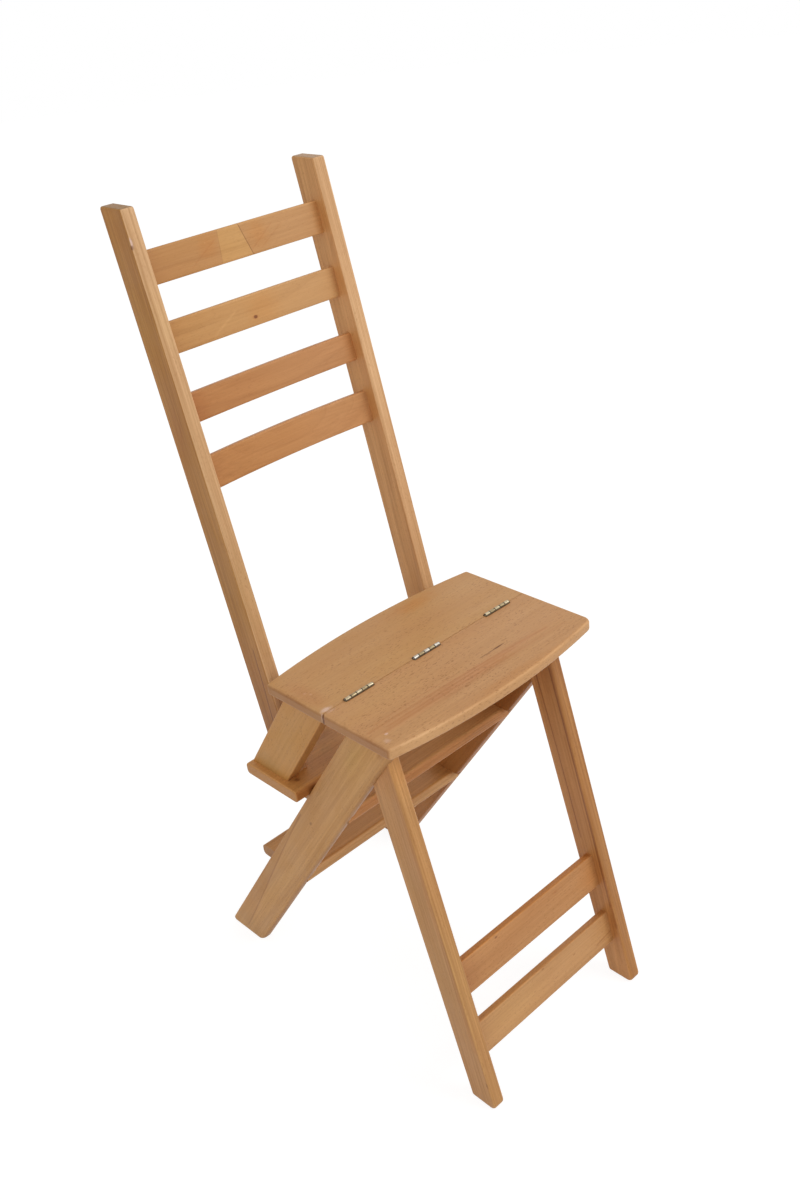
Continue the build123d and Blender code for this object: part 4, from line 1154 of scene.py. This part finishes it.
@dataclass
class ButtHinges:
    """The three butt hinges: leaves with their knuckles, pins and countersunk screws."""

    front_leaf: PlateFinish = PlateFinish(
        bright=shade(212, 198, 166), dull=shade(138, 118, 82), knuckle=0.0076)
    rear_leaf: PlateFinish = PlateFinish(
        bright=shade(186, 168, 132), dull=shade(116, 98, 66), knuckle=0.0076)
    polished: PlateFinish = PlateFinish(
        bright=shade(226, 222, 212), dull=shade(160, 148, 126), grime_share=0.3, knuckle=0.0076)
    pin: PlateFinish = PlateFinish(bright=shade(190, 184, 170), dull=shade(120, 110, 94), seed=5.0)
    screw: PlateFinish = PlateFinish(bright=shade(196, 192, 180), dull=shade(140, 132, 116), seed=7.0)
    places: tuple[str, ...] = ("left", "middle", "right")

    def dress(self, shared: SharedEffects) -> None:
        """Finishes the hinges and their fixings."""
        for number, place in enumerate(self.places):
            front = self.polished if place == "middle" else self.front_leaf
            replace(front, seed=1.0 + number).dress(f"hinge_front_leaf_{place}", shared)
            replace(self.rear_leaf, seed=11.0 + number).dress(f"hinge_rear_leaf_{place}", shared)
        self.pin.dress("hinge_pins", shared)
        self.screw.dress("front_leaf_screws", shared)
        replace(self.screw, seed=8.0).dress("rear_leaf_screws", shared)


@dataclass
class HiddenDowels:
    """The dowels of the glued joints."""

    finish: DowelFinish = DowelFinish()
    nodes: tuple[str, ...] = ("seat_front_dowels", "seat_rear_dowels", "top_tread_dowels",
                              "upright_lap_dowels")

    def dress(self, shared: SharedEffects) -> None:
        """Finishes the dowels."""
        for node in self.nodes:
            self.finish.dress(node, shared)


@dataclass
class Studio:
    """A white floor that keeps the chair's shadow, a white sky and two soft lamps."""

    floor_radius: float = 9.0
    floor_drop: float = 0.0002
    paper_tone: float = 0.82
    seen_tone: float = 0.26
    seen_glow: float = 0.86
    sky_level: float = 0.62
    aim_height: float = 0.4
    lamps: tuple[tuple[str, Triple, float, float], ...] = (
        ("key", (1.5, -2.3, 2.5), 1.8, 36.0),
        ("fill", (-2.6, -1.4, 1.6), 2.0, 7.0),
    )

    def build(self) -> None:
        """Makes the floor, the sky and the lamps."""
        self.floor()
        self.sky()
        for name, at, side, power in self.lamps:
            self.lamp(name, at, side, power)
        view = bpy.context.scene.view_settings
        view.view_transform = "Standard"

    def floor(self) -> bpy.types.Object:
        """Makes the floor: a white disc under the feet."""
        mesh = bpy.data.meshes.new("studio_floor")
        form = bmesh.new()
        bmesh.ops.create_circle(form, cap_ends=True, segments=96, radius=self.floor_radius)
        bmesh.ops.translate(form, verts=form.verts, vec=(0, 0, -self.floor_drop))
        form.to_mesh(mesh)
        form.free()
        made = bpy.data.objects.new("studio_floor", mesh)
        bpy.context.scene.collection.objects.link(made)
        mesh.materials.append(self.floor_finish())
        return made

    def floor_finish(self) -> bpy.types.Material:
        """Returns matt white paper that the camera and reflections see as the white background."""
        material = bpy.data.materials.new("studio_paper")
        material.use_nodes = True
        material.node_tree.nodes.clear()
        bench = Bench(material.node_tree)
        paper = bench.node("ShaderNodeBsdfDiffuse")
        bench.put(paper.inputs["Color"], (self.paper_tone,) * 3)
        faint = bench.node("ShaderNodeBsdfDiffuse")
        bench.put(faint.inputs["Color"], (self.seen_tone,) * 3)
        glow = bench.node("ShaderNodeEmission")
        bench.put(glow.inputs["Color"], (1.0, 1.0, 1.0))
        bench.put(glow.inputs["Strength"], self.seen_glow)
        white = bench.node("ShaderNodeAddShader")
        bench.put(white.inputs[0], faint.outputs[0])
        bench.put(white.inputs[1], glow.outputs[0])
        seen = bench.seen()
        lit = bench.node("ShaderNodeMixShader")
        bench.put(lit.inputs[0], seen)
        bench.put(lit.inputs[1], paper.outputs[0])
        bench.put(lit.inputs[2], white.outputs[0])
        out = bench.node("ShaderNodeOutputMaterial")
        bench.put(out.inputs["Surface"], lit.outputs[0])
        return material

    def sky(self) -> None:
        """Makes the world: plain white to the eye, a soft even light on the chair."""
        world = bpy.data.worlds.new("studio_sky")
        bpy.context.scene.world = world
        world.use_nodes = True
        world.node_tree.nodes.clear()
        bench = Bench(world.node_tree)
        seen = bench.seen()
        light = bench.node("ShaderNodeBackground")
        bench.put(light.inputs["Color"], (1.0, 1.0, 1.0))
        bench.put(light.inputs["Strength"], bench.span(seen, 0.0, 1.0, self.sky_level, 1.0))
        out = bench.node("ShaderNodeOutputWorld")
        bench.put(out.inputs["Surface"], light.outputs[0])

    def lamp(self, name: str, at: Triple, side: float, power: float) -> bpy.types.Object:
        """Hangs a soft square lamp that points at the chair.

        Args:
            name: The lamp's name.
            at: Its place.
            side: Its side in metres.
            power: Its power in watts.

        Returns:
            The lamp.
        """
        data = bpy.data.lights.new(f"studio_{name}", "AREA")
        data.shape = "SQUARE"
        data.size = side
        data.energy = power
        made = bpy.data.objects.new(f"studio_{name}", data)
        made.location = at
        aim = Vector((0, 0, self.aim_height)) - Vector(at)
        made.rotation_euler = aim.to_track_quat("-Z", "Y").to_euler()
        bpy.context.scene.collection.objects.link(made)
        return made


@dataclass
class Viewpoint:
    """The photograph's camera: where it stood, how it was turned, and its lens."""

    place: Triple = (-0.74074, -0.88889, 1.14515)
    azimuth: float = -40.52081
    elevation: float = 29.24561
    roll: float = -6.71351
    lens: float = 37.468
    film_height: float = 36.0

    def build(self) -> bpy.types.Object:
        """Makes the camera and sets it as the scene's."""
        across, climb, tilt = map(radians, (self.azimuth, self.elevation, self.roll))
        back = Vector((sin(across) * cos(climb), -cos(across) * cos(climb), sin(climb)))
        level = Vector((cos(across), sin(across), 0))
        rise = back.cross(level)
        right = level * cos(tilt) + rise * sin(tilt)
        up = rise * cos(tilt) - level * sin(tilt)
        data = bpy.data.cameras.new("photograph_view")
        data.sensor_fit = "VERTICAL"
        data.sensor_height = self.film_height
        data.lens = self.lens
        made = bpy.data.objects.new("photograph_view", data)
        made.matrix_world = Matrix.Translation(self.place) @ Matrix(
            (right, up, back)).transposed().to_4x4()
        bpy.context.scene.collection.objects.link(made)
        bpy.context.scene.camera = made
        return made


def main() -> None:
    """Dresses every sub-assembly in order, then sets the studio and the camera."""
    logging.basicConfig(level=logging.INFO, format="%(message)s")
    shared = SharedEffects()
    for part in (Seat(), FrontLegs(), StepFrame(), SlattedBack(), TopStep(), ButtHinges(),
                 HiddenDowels()):
        part.dress(shared)
    Studio().build()
    Viewpoint().build()


if __name__ == "__main__":
    main()
